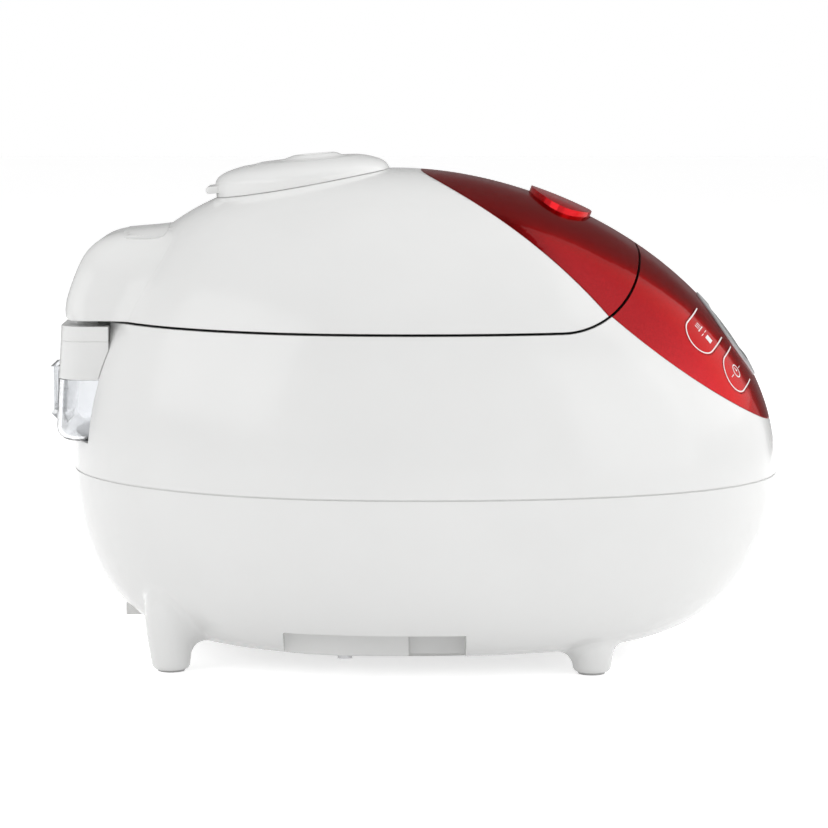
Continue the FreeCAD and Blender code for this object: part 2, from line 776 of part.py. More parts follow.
def inner_pot():
    outside = pot_profile(POT_R, POT_BOTTOM_Z, POT_BEND_R, FLANGE_TOP_Z)
    flange = rod(POT_X, 0, FLANGE_TOP_Z - POT_FLANGE, FLANGE_TOP_Z, POT_FLANGE_R)
    inside = pot_profile(POT_R - POT_WALL, POT_BOTTOM_Z + POT_WALL, POT_BEND_R - POT_WALL,
                         FLANGE_TOP_Z + POT_WALL)
    return outside.fuse(flange).cut(inside).removeSplitter()


def pot_chamber():
    top = PART_Z - DECK
    bend = POT_BEND_R + CHAMBER_GAP
    outside = pot_profile(CHAMBER_R + CHAMBER_WALL, CHAMBER_Z, bend + CHAMBER_WALL, top)
    inside = pot_profile(CHAMBER_R, CHAMBER_Z + CHAMBER_WALL, bend, top + CHAMBER_WALL)
    rim = rod(POT_X, 0, top - CHAMBER_WALL, top, CHAMBER_R + CHAMBER_RIM)
    chamber = outside.fuse(rim).cut(inside)
    return chamber.cut(rod(POT_X, 0, 0, POT_BOTTOM_Z, SENSOR_R + RUN)).removeSplitter()


def heating_plate():
    plate = rod(POT_X, 0, POT_BOTTOM_Z - PLATE, POT_BOTTOM_Z, PLATE_R)
    groove = Part.makeTorus(ELEMENT_R, ELEMENT_WIRE_R, V(POT_X, 0, POT_BOTTOM_Z - PLATE))
    return plate.cut(groove).cut(rod(POT_X, 0, 0, REACH, SENSOR_R + RUN))


def heating_element():
    ring = Part.makeTorus(ELEMENT_R, ELEMENT_WIRE_R, V(POT_X, 0, POT_BOTTOM_Z - PLATE))
    return ring.common(slab(CHAMBER_Z + CHAMBER_WALL, REACH))


def heater_supports():
    """Three short posts that carry the heating plate on the chamber's floor."""
    posts = []
    for i in range(3):
        turn = 2 * math.pi * i / 3
        r = 0.5 * (ELEMENT_R + ELEMENT_WIRE_R + POT_R - POT_BEND_R)
        x = POT_X + r * math.cos(turn)
        y = r * math.sin(turn)
        posts.append(rod(x, y, CHAMBER_Z + CHAMBER_WALL, POT_BOTTOM_Z - PLATE, STANDOFF_R))
    return group(posts)


def side_heater():
    r = CHAMBER_R + CHAMBER_WALL
    return pipe(POT_X, 0, SIDE_HEATER_Z, SIDE_HEATER_Z + SIDE_HEATER_HEIGHT, r + SIDE_HEATER, r)


def sensor_spring_height():
    return POT_BOTTOM_Z - PLATE - SENSOR_SEAT_Z


def sensor_cup():
    """Spring-loaded cup in the middle of the plate that feels the pot's floor."""
    top = POT_BOTTOM_Z - RUN
    cup = rod(POT_X, 0, POT_BOTTOM_Z - PLATE, top, SENSOR_R)
    low = SENSOR_SEAT_Z + 2 * SENSOR_TRAVEL
    stem = rod(POT_X, 0, low, POT_BOTTOM_Z - PLATE, SENSOR_SPRING_R - 2 * SENSOR_SPRING_WIRE)
    return fused([cup, stem])


def sensor_spring():
    spring = coil(SENSOR_SPRING_R, SENSOR_SPRING_WIRE, SENSOR_SPRING_TURNS, sensor_spring_height())
    spring.translate(V(POT_X, 0, SENSOR_SEAT_Z))
    return spring


def sensor_bracket():
    """Cup-shaped bracket under the chamber that carries the sensor's spring."""
    r = SENSOR_R + RUN
    cup = rod(POT_X, 0, SENSOR_SEAT_Z - CHAMBER_WALL, CHAMBER_Z, r + CHAMBER_WALL)
    brim = rod(POT_X, 0, CHAMBER_Z - CHAMBER_WALL, CHAMBER_Z, r + CHAMBER_RIM)
    return cup.fuse(brim).cut(rod(POT_X, 0, SENSOR_SEAT_Z, CHAMBER_Z, r)).removeSplitter()


# Deck, hinge and rear pieces

def deck():
    plate = lid_zone(DECK).cut(lid_zone(0)).common(dome(WALL + FIT))
    cuts = [rod(POT_X, 0, 0, REACH, POT_R + WALL), hinge_bay(), latch_mouth()]
    cuts.append(rod(POT_X, 0, FLANGE_TOP_Z - POT_FLANGE, REACH, POT_FLANGE_R + RUN))
    return plate.cut(cuts)


def latch_mouth():
    """Slot through the deck for the latch hook."""
    half = LATCH_HALF + LATCH_EAR
    rear = LATCH_TIP_X - LATCH_BAR / 2 - RUN
    top = LATCH_PIVOT_Z - 2 * DECK
    return box(rear, LATCH_TIP_X + 2 * LATCH_BAR, -half, half, PART_Z - 2 * DECK, top)


def hinge_posts():
    outer = POST_INNER_Y + POST_WIDTH
    post = box(HINGE_X - POST_R, HINGE_X + POST_R, POST_INNER_Y, outer, COVER_TOP_Z, HINGE_Z)
    knuckle = Part.makeCylinder(POST_R, POST_WIDTH, V(HINGE_X, POST_INNER_Y, HINGE_Z), ACROSS_Y)
    return both_sides(fused([post, knuckle]))


def hinge_housing():
    top = PART_Z - HOUSING_DROP
    shell = block(COVER_TOP_Z, top, 0, BLOCK_FRONT_X)
    hollow = block(COVER_TOP_Z - WALL, top - WALL, -WALL, BLOCK_FRONT_X - WALL)
    housing = fused([shell] + hinge_posts()).cut(hollow)
    return housing.cut(axle(HINGE_X, HINGE_Z, HINGE_PIN_HALF, HINGE_PIN_R))


def hinge_pin():
    return axle(HINGE_X, HINGE_Z, HINGE_PIN_HALF, HINGE_PIN_R)


def hinge_spring():
    """Torsion spring round the pin, between the two posts."""
    height = 2 * (POST_INNER_Y - 2 * RUN)
    spring = coil(HINGE_SPRING_R, HINGE_SPRING_WIRE, HINGE_SPRING_TURNS, height)
    spring.rotate(V(0, 0, 0), V(1, 0, 0), 90)
    spring.translate(V(HINGE_X, height / 2, HINGE_Z))
    return spring


def rear_cover():
    shell = block(COVER_BOTTOM_Z, COVER_TOP_Z, 0, BLOCK_FRONT_X)
    hollow = block(COVER_BOTTOM_Z + WALL, COVER_TOP_Z + WALL, -WALL, BLOCK_FRONT_X + WALL)
    drain = block(COVER_BOTTOM_Z - WALL, COVER_TOP_Z, -2 * WALL, DEW_FRONT_X)
    drain = drain.common(box(-REACH, REACH, -DEW_GRIP_HALF, DEW_GRIP_HALF, 0, REACH))
    return shell.cut([hollow, dome(-FIT), drain])


def round_bottom(cup, r):
    """Cup with its floor's edges rounded, apart from the straight front one."""
    low = cup.BoundBox.ZMin + LEDGE
    front = cup.BoundBox.XMax - LEDGE
    return cup.makeFillet(r, [e for e in cup.Edges if e.BoundBox.ZMax < low and e.BoundBox.XMin < front])


def dew_collector():
    cup = round_bottom(block(DEW_BOTTOM_Z, COVER_BOTTOM_Z - RUN, 0, DEW_FRONT_X), DEW_BEND_R)
    hollow = block(DEW_BOTTOM_Z + DEW_WALL, COVER_BOTTOM_Z + DEW_WALL, -DEW_WALL, DEW_FRONT_X - DEW_WALL)
    cup = cup.cut(round_bottom(hollow, DEW_BEND_R - DEW_WALL))
    rear = BLOCK_REAR_X
    out = rear - DEW_GRIP_REACH
    slope = DEW_GRIP_REACH
    low = DEW_GRIP_BOTTOM_Z
    high = DEW_GRIP_TOP_Z
    brim = COVER_BOTTOM_Z - 2 * RUN
    lean = rear + BLOCK_LEAN * (COVER_BOTTOM_Z - DEW_BOTTOM_Z)
    outline = [(rear + DEW_WALL / 2, low - LEDGE), (rear, low), (out, low + slope), (out, high)]
    outline += [(rear - RUN, high), (rear - RUN, brim), (lean + DEW_WALL / 2, brim)]
    loop = across(polygon(outline), DEW_GRIP_HALF)
    gap = box(out + DEW_GRIP_WALL, rear - RUN - DEW_GRIP_WALL / 2, -DEW_GRIP_HALF + DEW_GRIP_WALL,
              DEW_GRIP_HALF - DEW_GRIP_WALL, low + slope + DEW_GRIP_WALL, high + DEW_GRIP_WALL)
    return fused([cup, loop.cut(gap)])


# Lid

def neck_half(share):
    """Half-width of the neck at a share of its rise: it tapers and rounds over at the top."""
    return (NECK_HALF_WIDTH - NECK_TAPER * share) * bulge(share, NECK_POWER)


def egg_point(z, turn, inset):
    """Point on the rear of the dome's outline at height z, and its outward direction in plan."""
    share = (z - GIRTH_Z) / (CROWN_Z - inset - GIRTH_Z)
    length = (TAIL - inset) * bulge(share, DOME_POWERS[1])
    width = (HALF_WIDTH - inset) * bulge(share, DOME_POWERS[2])
    power = 2 / TAIL_PLAN_POWER
    c = math.cos(turn)
    s = math.sin(turn)
    at = V(EGG_X - length * c ** power, width * s ** power, z)
    out = V(-c ** (2 - power) / length, s ** (2 - power) / width, 0).normalize()
    return at, out


def neck_flare(z, half, inset):
    """Where the neck's flank curves out to the dome: start, middle and end of the hollow arc."""
    r = NECK_FLARE_R + inset
    low = 0.0
    high = math.pi / 2
    for step in range(40):
        turn = 0.5 * (low + high)
        at, out = egg_point(z, turn, NECK_SINK + inset)
        if at.y + r * out.y < half + r:
            low = turn
        else:
            high = turn
    centre = at + out * r
    start = V(centre.x, half, z)
    middle = centre + (start + at - centre * 2).normalize() * r
    return start, middle, at


def neck_section(back, share, inset):
    """Outline of the neck at a share of its rise, with rounded rear corners and flared flanks."""
    z = LID_Z - inset + share * NECK_TOP_RISE
    half = neck_half(share) - inset
    rear = NECK_REAR_X + inset + back
    r = min(NECK_CORNER_R, half) - inset
    start, middle, end = neck_flare(z, half, inset)
    bend = r * (1 - math.sqrt(0.5))
    side = [end, middle, start, V(rear + r, half, z), V(rear + bend, half - bend, z), V(rear, half - r, z)]
    other = [V(p.x, -p.y, z) for p in reversed(side)]
    edges = []
    for p in (side, other):
        edges.append(Part.Arc(p[0], p[1], p[2]).toShape())
        edges.append(Part.LineSegment(p[2], p[3]).toShape())
        edges.append(Part.Arc(p[3], p[4], p[5]).toShape())
    edges.insert(3, Part.LineSegment(side[5], other[0]).toShape())
    edges.append(Part.LineSegment(other[5], side[0]).toShape())
    return Part.Wire(edges)


def neck(inset):
    """Hinge neck of the lid, set in by inset and cleared for its swing over the hinge housing."""
    body = Part.makeLoft([neck_section(back, share, inset) for back, share in NECK_SIDE], True, False)
    below = box(-REACH, HINGE_X, -REACH, REACH, 0, HINGE_Z)
    return body.cut(below.cut(axle(HINGE_X, HINGE_Z, REACH, SWEEP_R)))


def lid_bosses():
    """Screw bosses that hold the liner, and the two walls that ride on the hinge pin."""
    bosses = []
    for x, y, z in lid_screw_places():
        skin = dome(WALL / 2) if z > LID_Z else dome(WALL + 2 * FIT)
        bosses.append(rod(x, y, z + LINER, REACH, STANDOFF_R).common(skin))
    inner = POST_INNER_Y + POST_WIDTH + 2 * RUN
    wall = box(HINGE_X - POST_R, HINGE_X + POST_R, inner, inner + BOSS_WIDTH, LID_Z, REACH)
    bosses += [w.common(neck(WALL / 2)) for w in both_sides(wall)]
    return bosses


def lid_screw_places():
    """Screw centres and the underside they bear on: two ahead of the well and two inside it."""
    front_x = PART_FRONT_X - PART_CURL_R - 2 * STANDOFF_R
    front_y = math.sqrt((LINER_R + 5 * STANDOFF_R) ** 2 - (front_x - POT_X) ** 2)
    inner = GASKET_R - GASKET - 2 * SCREW_HEAD_R
    turn = math.radians(REAR_SCREW_TURN)
    rear_x = POT_X - inner * math.cos(turn)
    rear_y = inner * math.sin(turn)
    pairs = ((front_x, front_y, LID_Z), (rear_x, rear_y, LINER_TOP_Z))
    return [(x, side * y, z) for x, y, z in pairs for side in (-1, 1)]


def lid_cover():
    white = lid_white(0)
    hollow = dome(WALL).common(lid_white(-COLOUR_STEP))
    shell = dome(0).common(lid_zone(-LID_GAP)).fuse(neck(0)).common(white)
    shell = shell.cut([hollow, dome(BACK), neck(WALL)])
    backing = dome(WALL + FIT).common(lid_zone(-LID_GAP)).cut([white, dome(BACK)])
    cover = shell.fuse([backing] + lid_bosses())
    slot = box(-REACH, HINGE_X + POST_R + RUN, POST_INNER_Y - 2 * RUN, POST_INNER_Y + POST_WIDTH + 2 * RUN, 0,
               HINGE_Z + POST_R + RUN)
    cuts = both_sides(slot)
    cuts.append(axle(HINGE_X, HINGE_Z, HINGE_PIN_HALF + FIT, HINGE_PIN_R + FIT))
    cuts.append(on_button(oval(BUTTON_LENGTH + RUN, BUTTON_WIDTH + RUN, -REACH / 8, REACH / 8)))
    cuts += [rod(x, y, z, z + 4 * WALL, SCREW_R) for x, y, z in lid_screw_places()]
    cuts.append(on_cap(rod(0, 0, -REACH / 8, REACH / 8, DUCT_R + FIT)))
    return cover.cut(cuts)


def lid_panel():
    opening = on_button(oval(BUTTON_LENGTH + RUN, BUTTON_WIDTH + RUN, -REACH / 8, REACH / 8))
    return dome(0).common(lid_zone(-LID_GAP)).cut([lid_white(COLOUR_GAP), dome(WALL), opening])


def lid_liner():
    """Inner cover of the lid, with a round well for the inner lid."""
    plate = lid_zone(-LID_GAP).cut(lid_zone(-LID_GAP - LINER)).common(dome(BACK + FIT))
    hat = rod(POT_X, 0, LID_Z, LINER_TOP_Z + LINER, LINER_R + LINER)
    half = LATCH_HALF + LATCH_EAR
    cuts = [rod(POT_X, 0, LID_Z - 4 * LINER, LINER_TOP_Z, LINER_R)]
    cuts.append(rod(CAP_X, 0, 0, REACH, DUCT_R + DUCT_WALL))
    cuts += [rod(x, y, 0, REACH, SCREW_R) for x, y, z in lid_screw_places()]
    cuts.append(box(LATCH_TIP_X - 3 * LATCH_BAR, LATCH_TIP_X + 2 * LATCH_BAR, -half, half, 0,
                    LATCH_PIVOT_Z - 2 * DECK))
    neck_mouth = box(-REACH, HINGE_X + POST_R + RUN, -NECK_HALF_WIDTH, NECK_HALF_WIDTH, 0, REACH)
    return plate.cut(neck_mouth).fuse(hat).cut(cuts)


def lid_screws():
    screws = []
    for x, y, z in lid_screw_places():
        head = rod(x, y, z - LID_GAP / 2, z, SCREW_HEAD_R)
        screws.append(fused([head, rod(x, y, z, z + 3 * WALL, SCREW_R)]))
    return group(screws)


def lid_gasket():
    """Silicone ring round the inner lid that seals on the pot's flange."""
    low = FLANGE_TOP_Z + FIT
    ring = pipe(POT_X, 0, low, LINER_TOP_Z, GASKET_R, GASKET_R - GASKET)
    groove = rod(POT_X, 0, LINER_TOP_Z - 2 * LINER, LINER_TOP_Z - LINER, GASKET_R - GASKET / 2)
    return ring.cut(groove)


def inner_lid():
    """Aluminium disc that closes the pot, held by its edge in the gasket."""
    low = LINER_TOP_Z - 2 * LINER
    disc = rod(POT_X, 0, low + FIT / 2, low + LINER - FIT / 2, GASKET_R - GASKET / 2 - FIT)
    return disc.cut(rod(CAP_X, 0, 0, REACH, DUCT_R - DUCT_WALL))


def steam_duct():
    """Tube that leads steam from the inner lid up to the cap."""
    tilt_run = on_cap(rod(0, 0, -REACH / 8, REACH / 8, DUCT_R))
    tilt_bore = on_cap(rod(0, 0, -REACH / 8, REACH / 8, DUCT_R - DUCT_WALL))
    low = LINER_TOP_Z - LINER
    tube = tilt_run.common(dome(FIT)).common(slab(low, REACH))
    collar = rod(CAP_X, 0, LINER_TOP_Z + LINER, LINER_TOP_Z + 2 * LINER, DUCT_R + 3 * DUCT_WALL)
    tube = tube.common(slab(LINER_TOP_Z + LINER, REACH))
    spout = rod(CAP_X, 0, low, LINER_TOP_Z + 2 * LINER, DUCT_R)
    duct = fused([tube, collar, spout]).cut(tilt_bore.common(slab(LINER_TOP_Z + LINER, REACH)))
    return duct.cut(rod(CAP_X, 0, 0, LINER_TOP_Z + 2 * LINER, DUCT_R - DUCT_WALL))


# Steam cap

def pebble(inset):
    """Cap's outside, set in by inset, in the cap's own frame."""
    wires = []
    length = CAP_LENGTH - inset
    width = CAP_WIDTH - inset
    height = CAP_HEIGHT - inset
    for level in range(CAP_LEVELS + 1):
        share = min(math.sin(0.5 * math.pi * level / CAP_LEVELS), 1 - LEDGE / height)
        scale = bulge(share, CAP_POWER)
        ring = Part.Ellipse(V(CAP_LEAN * (1 - scale), 0, height * share), length * scale, width * scale)
        wires.append(Part.Wire(ring.toShape()))
    skirt = Part.Wire(Part.Ellipse(V(0, 0, -3 * CAP_HEIGHT), length, width).toShape())
    return Part.makeLoft([skirt] + wires[:1], True, True).fuse(Part.makeLoft(wires, True)).removeSplitter()


def cap_slot():
    return on_cap(placed(oval(CAP_SLOT_LENGTH, CAP_SLOT_WIDTH, 0, 2 * CAP_HEIGHT), CAP_SLOT_X, 0, 0))


def steam_cap():
    shell = on_cap(pebble(0)).cut(on_cap(pebble(CAP_WALL)))
    tab = box(-CAP_LENGTH - CAP_TAB, -CAP_LENGTH + CAP_WALL, -CAP_TAB_HALF, CAP_TAB_HALF,
              -CAP_TAB_THICK, 0)
    corners = [edge for edge in tab.Edges if edge.BoundBox.XMax < -CAP_LENGTH - CAP_WALL]
    tab = tab.makeFillet(CAP_TAB_ROUND, corners)
    tab = on_cap(tab).cut(on_cap(pebble(CAP_WALL / 2)))
    return fused([shell, tab]).cut(dome(-FIT)).cut(cap_slot())


def cap_base():
    """Lower half of the cap: a plate that follows the lid, with a spigot into the duct."""
    inside = on_cap(pebble(CAP_WALL + LEDGE))
    inside = inside.common(slab(dome_z(CAP_X - CAP_LENGTH), REACH))
    plate = inside.common(dome(-CAP_WALL - RUN)).cut(dome(-RUN))
    spigot_r = DUCT_R - DUCT_WALL - RUN
    spigot = on_cap(rod(0, 0, -SPIGOT_DEPTH, CAP_HEIGHT, spigot_r)).common(dome(-CAP_WALL))
    bore = on_cap(rod(0, 0, -2 * SPIGOT_DEPTH, CAP_HEIGHT, spigot_r - CAP_WALL))
    return fused([plate, spigot]).cut(bore)


def cap_seal():
    """Silicone ring round the spigot."""
    r = DUCT_R - DUCT_WALL - RUN
    low = -SPIGOT_DEPTH / 2 - CAP_DROP
    return on_cap(pipe(0, 0, low, low + CAP_WALL, r + 0.75 * RUN, r))


# Lid button and latch

def button():
    """Oval push button that follows the dome, with a flange under the lid's backing."""
    tall = REACH / 8
    low = BACK + BUTTON_FLANGE
    body = on_button(oval(BUTTON_LENGTH, BUTTON_WIDTH, -tall, tall))
    body = body.common(dome(-BUTTON_PROUD)).cut(dome(low + FIT))
    rim = on_button(oval(BUTTON_LENGTH + BUTTON_FLANGE, BUTTON_WIDTH + BUTTON_FLANGE, -tall, tall))
    rim = rim.common(dome(BACK + FIT)).cut(dome(low))
    stem = Part.makeCylinder(LATCH_HALF / 2, LATCH_DROP, V(0, 0, -latch_arm_drop() + FIT))
    stem = on_button(stem).common(dome(low - FIT))
    return body.fuse([rim, stem])


def latch_arm_drop():
    """Depth of the latch arm's top under the dome, square to the button."""
    return LATCH_DROP - LATCH_BAR - BUTTON_TRAVEL - RUN


def arm_end():
    """Middle of the latch arm's top, where the button's stem presses."""
    tilt = math.radians(BUTTON_TILT)
    drop = latch_arm_drop() + LATCH_BAR / 2
    return BUTTON_X - drop * math.sin(tilt), BUTTON_Z - drop * math.cos(tilt)


def bar(x0, z0, x1, z1, thick, half):
    """Round-ended bar in the XZ plane."""
    run = math.hypot(x1 - x0, z1 - z0)
    side_x = -(z1 - z0) / run * thick / 2
    side_z = (x1 - x0) / run * thick / 2
    corners = [(x0 + side_x, z0 + side_z), (x1 + side_x, z1 + side_z), (x1 - side_x, z1 - side_z),
               (x0 - side_x, z0 - side_z)]
    ends = [axle(x, z, half, thick / 2) for x, z in ((x0, z0), (x1, z1))]
    return fused([across(polygon(corners), half)] + ends)


def hook_tip_z():
    """Height of the hook's lower end, below the deck at the latch."""
    x = LATCH_TIP_X - LATCH_BAR - PART_FRONT_X + PART_CURL_R
    under = PART_Z + PART_CURL_R - math.sqrt((PART_CURL_R + DECK) ** 2 - x * x)
    return under - LATCH_BAR


def latch_hook():
    end_x, end_z = arm_end()
    arm = bar(LATCH_PIVOT_X, LATCH_PIVOT_Z, end_x, end_z, LATCH_BAR, LATCH_HALF)
    leg = bar(LATCH_PIVOT_X, LATCH_PIVOT_Z, LATCH_TIP_X, LATCH_PIVOT_Z - 2 * LATCH_BAR, LATCH_BAR, LATCH_HALF)
    foot = bar(LATCH_TIP_X, LATCH_PIVOT_Z - 2 * LATCH_BAR, LATCH_TIP_X, hook_tip_z(), LATCH_BAR, LATCH_HALF)
    hub = axle(LATCH_PIVOT_X, LATCH_PIVOT_Z, LATCH_HALF, LATCH_BAR)
    hook = fused([arm, leg, foot, hub])
    return hook.cut(axle(LATCH_PIVOT_X, LATCH_PIVOT_Z, REACH, LATCH_PIN_R + FIT / 2))


def latch_pin():
    return axle(LATCH_PIVOT_X, LATCH_PIVOT_Z, LATCH_HALF + RUN + LATCH_EAR, LATCH_PIN_R)


def latch_frame():
    """Bridge under the button: carries the springs and, on two ears, the latch's pin."""
    half = BUTTON_WIDTH + BUTTON_FLANGE + LATCH_EAR
    plate = on_button(box(-BUTTON_LENGTH, BUTTON_LENGTH, -half, half, -LATCH_DROP - LATCH_PLATE, -LATCH_DROP))
    legs = [on_button(leg) for leg in both_sides(box(-LATCH_HALF, LATCH_HALF, half - LATCH_EAR, half,
                                                      -LATCH_DROP - LATCH_PLATE, LATCH_DROP))]
    inner = LATCH_HALF + RUN
    tilt = math.radians(BUTTON_TILT)
    root_x = BUTTON_X - (LATCH_DROP + LATCH_PLATE / 2) * math.sin(tilt)
    root_z = BUTTON_Z - (LATCH_DROP + LATCH_PLATE / 2) * math.cos(tilt)
    ear = bar(root_x, root_z, LATCH_PIVOT_X, LATCH_PIVOT_Z, 2 * LATCH_BAR, LATCH_EAR / 2)
    ear.translate(V(0, inner + LATCH_EAR / 2, 0))
    frame = fused([plate] + [leg.common(dome(BACK)) for leg in legs] + both_sides(ear))
    return frame.cut(axle(LATCH_PIVOT_X, LATCH_PIVOT_Z, REACH, LATCH_PIN_R))


def button_springs():
    """Two coils between the latch frame and the button's flange."""
    springs = []
    for side in (-1, 1):
        drop = BUTTON_Z - dome_z(BUTTON_X) + BACK + BUTTON_FLANGE + side_fall(BUTTON_SPRING_Y)
        height = LATCH_DROP - drop - FIT
        spring = coil(BUTTON_SPRING_R, BUTTON_SPRING_WIRE, BUTTON_SPRING_TURNS, height)
        spring.translate(V(0, side * BUTTON_SPRING_Y, -LATCH_DROP))
        springs.append(on_button(spring))
    return group(springs)


def side_fall(y):
    """How far the dome falls from the mirror plane to y, beside the button."""
    share = (BUTTON_Z - GIRTH_Z) / (CROWN_Z - GIRTH_Z)
    width = HALF_WIDTH * bulge(share, DOME_POWERS[2])
    return (CROWN_Z - BUTTON_Z) * (y / width) ** 2


def latch_strike():
    """Steel angle under the rear edge of the deck's slot, where the hook catches."""
    half = LATCH_HALF + LATCH_EAR
    rear = latch_mouth().BoundBox.XMin
    band = lid_zone(DECK + BOARD).cut(lid_zone(DECK))
    return band.common(box(rear - 3 * LATCH_BAR, rear, -half, half, 0, REACH))


# Power inlet

def inlet_socket():
    x0 = INLET_REAR_X
    x1 = INLET_REAR_X + INLET_DEPTH
    low = INLET_BOTTOM_Z
    high = INLET_BOTTOM_Z + INLET_HEIGHT
    shell = box(x0, x1, -INLET_HALF_WIDTH, INLET_HALF_WIDTH, low, high)
    inner = INLET_HALF_WIDTH - INLET_WALL
    hollow = box(x0 - INLET_WALL, x1 - INLET_WALL, -inner, inner, low + INLET_WALL, high - INLET_WALL)
    socket = shell.cut(hollow)
    for y, z in inlet_pin_places():
        socket = socket.cut(Part.makeCylinder(INLET_PIN_R, INLET_DEPTH, V(x0, y, z), V(1, 0, 0)))
    return socket


def inlet_pin_places():
    z = INLET_BOTTOM_Z + INLET_HEIGHT / 2
    return [(-INLET_PIN_PITCH, z), (0.0, z), (INLET_PIN_PITCH, z)]


def inlet_pins():
    start = INLET_REAR_X + INLET_WALL
    length = INLET_DEPTH + INLET_WALL
    return group([Part.makeCylinder(INLET_PIN_R, length, V(start, y, z), V(1, 0, 0))
                  for y, z in inlet_pin_places()])


made["panel"] = panel_skin()

PIECES = {
    "lower_case": lower_case,
    "base_cover": base_cover,
    "cover_screws": cover_screws,
    "foot_pads": foot_pads,
    "upper_case": upper_case,
    "control_panel": control_panel,
    "display_bezel": display_bezel,
    "display_window": display_window,
    "display_module": display_module,
    "control_board": control_board,
    "key_switches": key_switches,
    "buzzer": buzzer,
    "power_board": power_board,
    "power_parts": power_parts,
    "inner_pot": inner_pot,
    "pot_chamber": pot_chamber,
    "heating_plate": heating_plate,
    "heating_element": heating_element,
    "heater_supports": heater_supports,
    "side_heater": side_heater,
    "sensor_cup": sensor_cup,
    "sensor_spring": sensor_spring,
    "sensor_bracket": sensor_bracket,
    "deck": deck,
    "latch_strike": latch_strike,
    "hinge_housing": hinge_housing,
    "hinge_pin": hinge_pin,
    "hinge_spring": hinge_spring,
    "rear_cover": rear_cover,
    "dew_collector": dew_collector,
    "lid_cover": lid_cover,
    "lid_panel": lid_panel,
    "lid_liner": lid_liner,
    "lid_screws": lid_screws,
    "lid_gasket": lid_gasket,
    "inner_lid": inner_lid,
    "steam_duct": steam_duct,
    "steam_cap": steam_cap,
    "steam_cap_base": cap_base,
    "steam_cap_seal": cap_seal,
    "lid_button": button,
    "button_springs": button_springs,
    "latch_frame": latch_frame,
    "latch_pin": latch_pin,
    "latch_hook": latch_hook,
    "inlet_socket": inlet_socket,
    "inlet_pins": inlet_pins,
}

KEYS = {
    "key_upper_near": (KEY_UPPER, -1),
    "key_upper_far": (KEY_UPPER, 1),
    "key_lower_near": (KEY_LOWER, -1),
    "key_lower_far": (KEY_LOWER, 1),
}

os.makedirs("parts", exist_ok=True)
shapes = {name: make() for name, make in PIECES.items()}
for name, ((down, start, end), side) in KEYS.items():
    shapes[name] = key(down, start, end, side)
for name, shape in shapes.items():
    shape.exportStep("parts/" + name + ".step")
    print(name, len(shape.Solids), shape.isValid(), round(shape.Volume))
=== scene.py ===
# %% [markdown]
# # A rice cooker, dressed over its solids
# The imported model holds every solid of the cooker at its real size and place, in metres.
# We could model the looks from nothing, but then every seam would have to be fitted by eye.
# So the solids come in first as a fixed frame, and each later cell finishes one piece of it.

# %% Load the solids
import json
import math

import bpy
from mathutils import Matrix, Vector


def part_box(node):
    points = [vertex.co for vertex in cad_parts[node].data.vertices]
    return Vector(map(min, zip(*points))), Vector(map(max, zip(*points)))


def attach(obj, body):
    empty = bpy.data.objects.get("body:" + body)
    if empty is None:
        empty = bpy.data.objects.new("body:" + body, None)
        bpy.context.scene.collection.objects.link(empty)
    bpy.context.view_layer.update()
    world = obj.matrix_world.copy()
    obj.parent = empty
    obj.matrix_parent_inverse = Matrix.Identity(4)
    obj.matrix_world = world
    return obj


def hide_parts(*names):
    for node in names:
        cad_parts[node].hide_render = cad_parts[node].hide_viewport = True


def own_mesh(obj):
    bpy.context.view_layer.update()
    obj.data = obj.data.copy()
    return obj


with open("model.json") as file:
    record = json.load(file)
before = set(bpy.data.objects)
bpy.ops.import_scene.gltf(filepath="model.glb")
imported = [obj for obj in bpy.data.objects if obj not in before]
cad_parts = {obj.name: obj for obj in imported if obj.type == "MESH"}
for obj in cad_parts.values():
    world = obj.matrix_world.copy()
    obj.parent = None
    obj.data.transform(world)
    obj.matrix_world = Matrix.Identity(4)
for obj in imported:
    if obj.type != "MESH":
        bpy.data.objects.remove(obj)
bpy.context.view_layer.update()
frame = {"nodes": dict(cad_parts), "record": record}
scene = bpy.context.scene
scene.view_settings.view_transform = "Standard"

# %% [markdown]
# ## The camera
# The photograph was taken square to the cooker's side, from a little above and from far away,
# so that the body shows almost no perspective. A long lens at about 1.7 m does the same here.
# An orthographic camera would be simpler, but the far keys would then line up with the near ones.

# %% Camera at the side
EYE = Vector((0.0, -1.648, 0.3128))
TARGET = Vector((-0.0006, 0.0, 0.1162))
SENSOR_MM = 36.0
LENS_MM = 143.7


def aim(place, look_at):
    """The turn that makes a camera or a lamp at one place look at another."""
    return (Vector(look_at) - Vector(place)).to_track_quat("-Z", "Y").to_euler()


lens = bpy.data.cameras.new("side_camera")
lens.sensor_width = SENSOR_MM
lens.lens = LENS_MM
camera = bpy.data.objects.new("side_camera", lens)
camera.location = EYE
camera.rotation_euler = aim(EYE, TARGET)
scene.collection.objects.link(camera)
scene.camera = camera
print("camera distance", round((TARGET - EYE).length, 3))

# %% [markdown]
# ## Light
# White goods are lit with large soft boxes at both ends: the ends come out bright, and the glossy red
# turns dark where it mirrors the dim ceiling. A bright ceiling would be easier, but it would wash that
# gradient out. The world is the room, white at the horizon and dim overhead, so it is the white
# background as well and no trick is needed for it.

# %% The studio's room
WHITE = (1, 1, 1)
DIM = (0.16, 0.16, 0.16)
HORIZON_ENDS = 0.22
CEILING_STARTS = 0.72


def set_ramp(ramp, first, first_colour, last, last_colour):
    """Sets the two stops of a colour ramp, each by its place and its colour."""
    for stop, place, colour in ((0, first, first_colour), (1, last, last_colour)):
        ramp.color_ramp.elements[stop].position = place
        ramp.color_ramp.elements[stop].color = (*colour, 1)


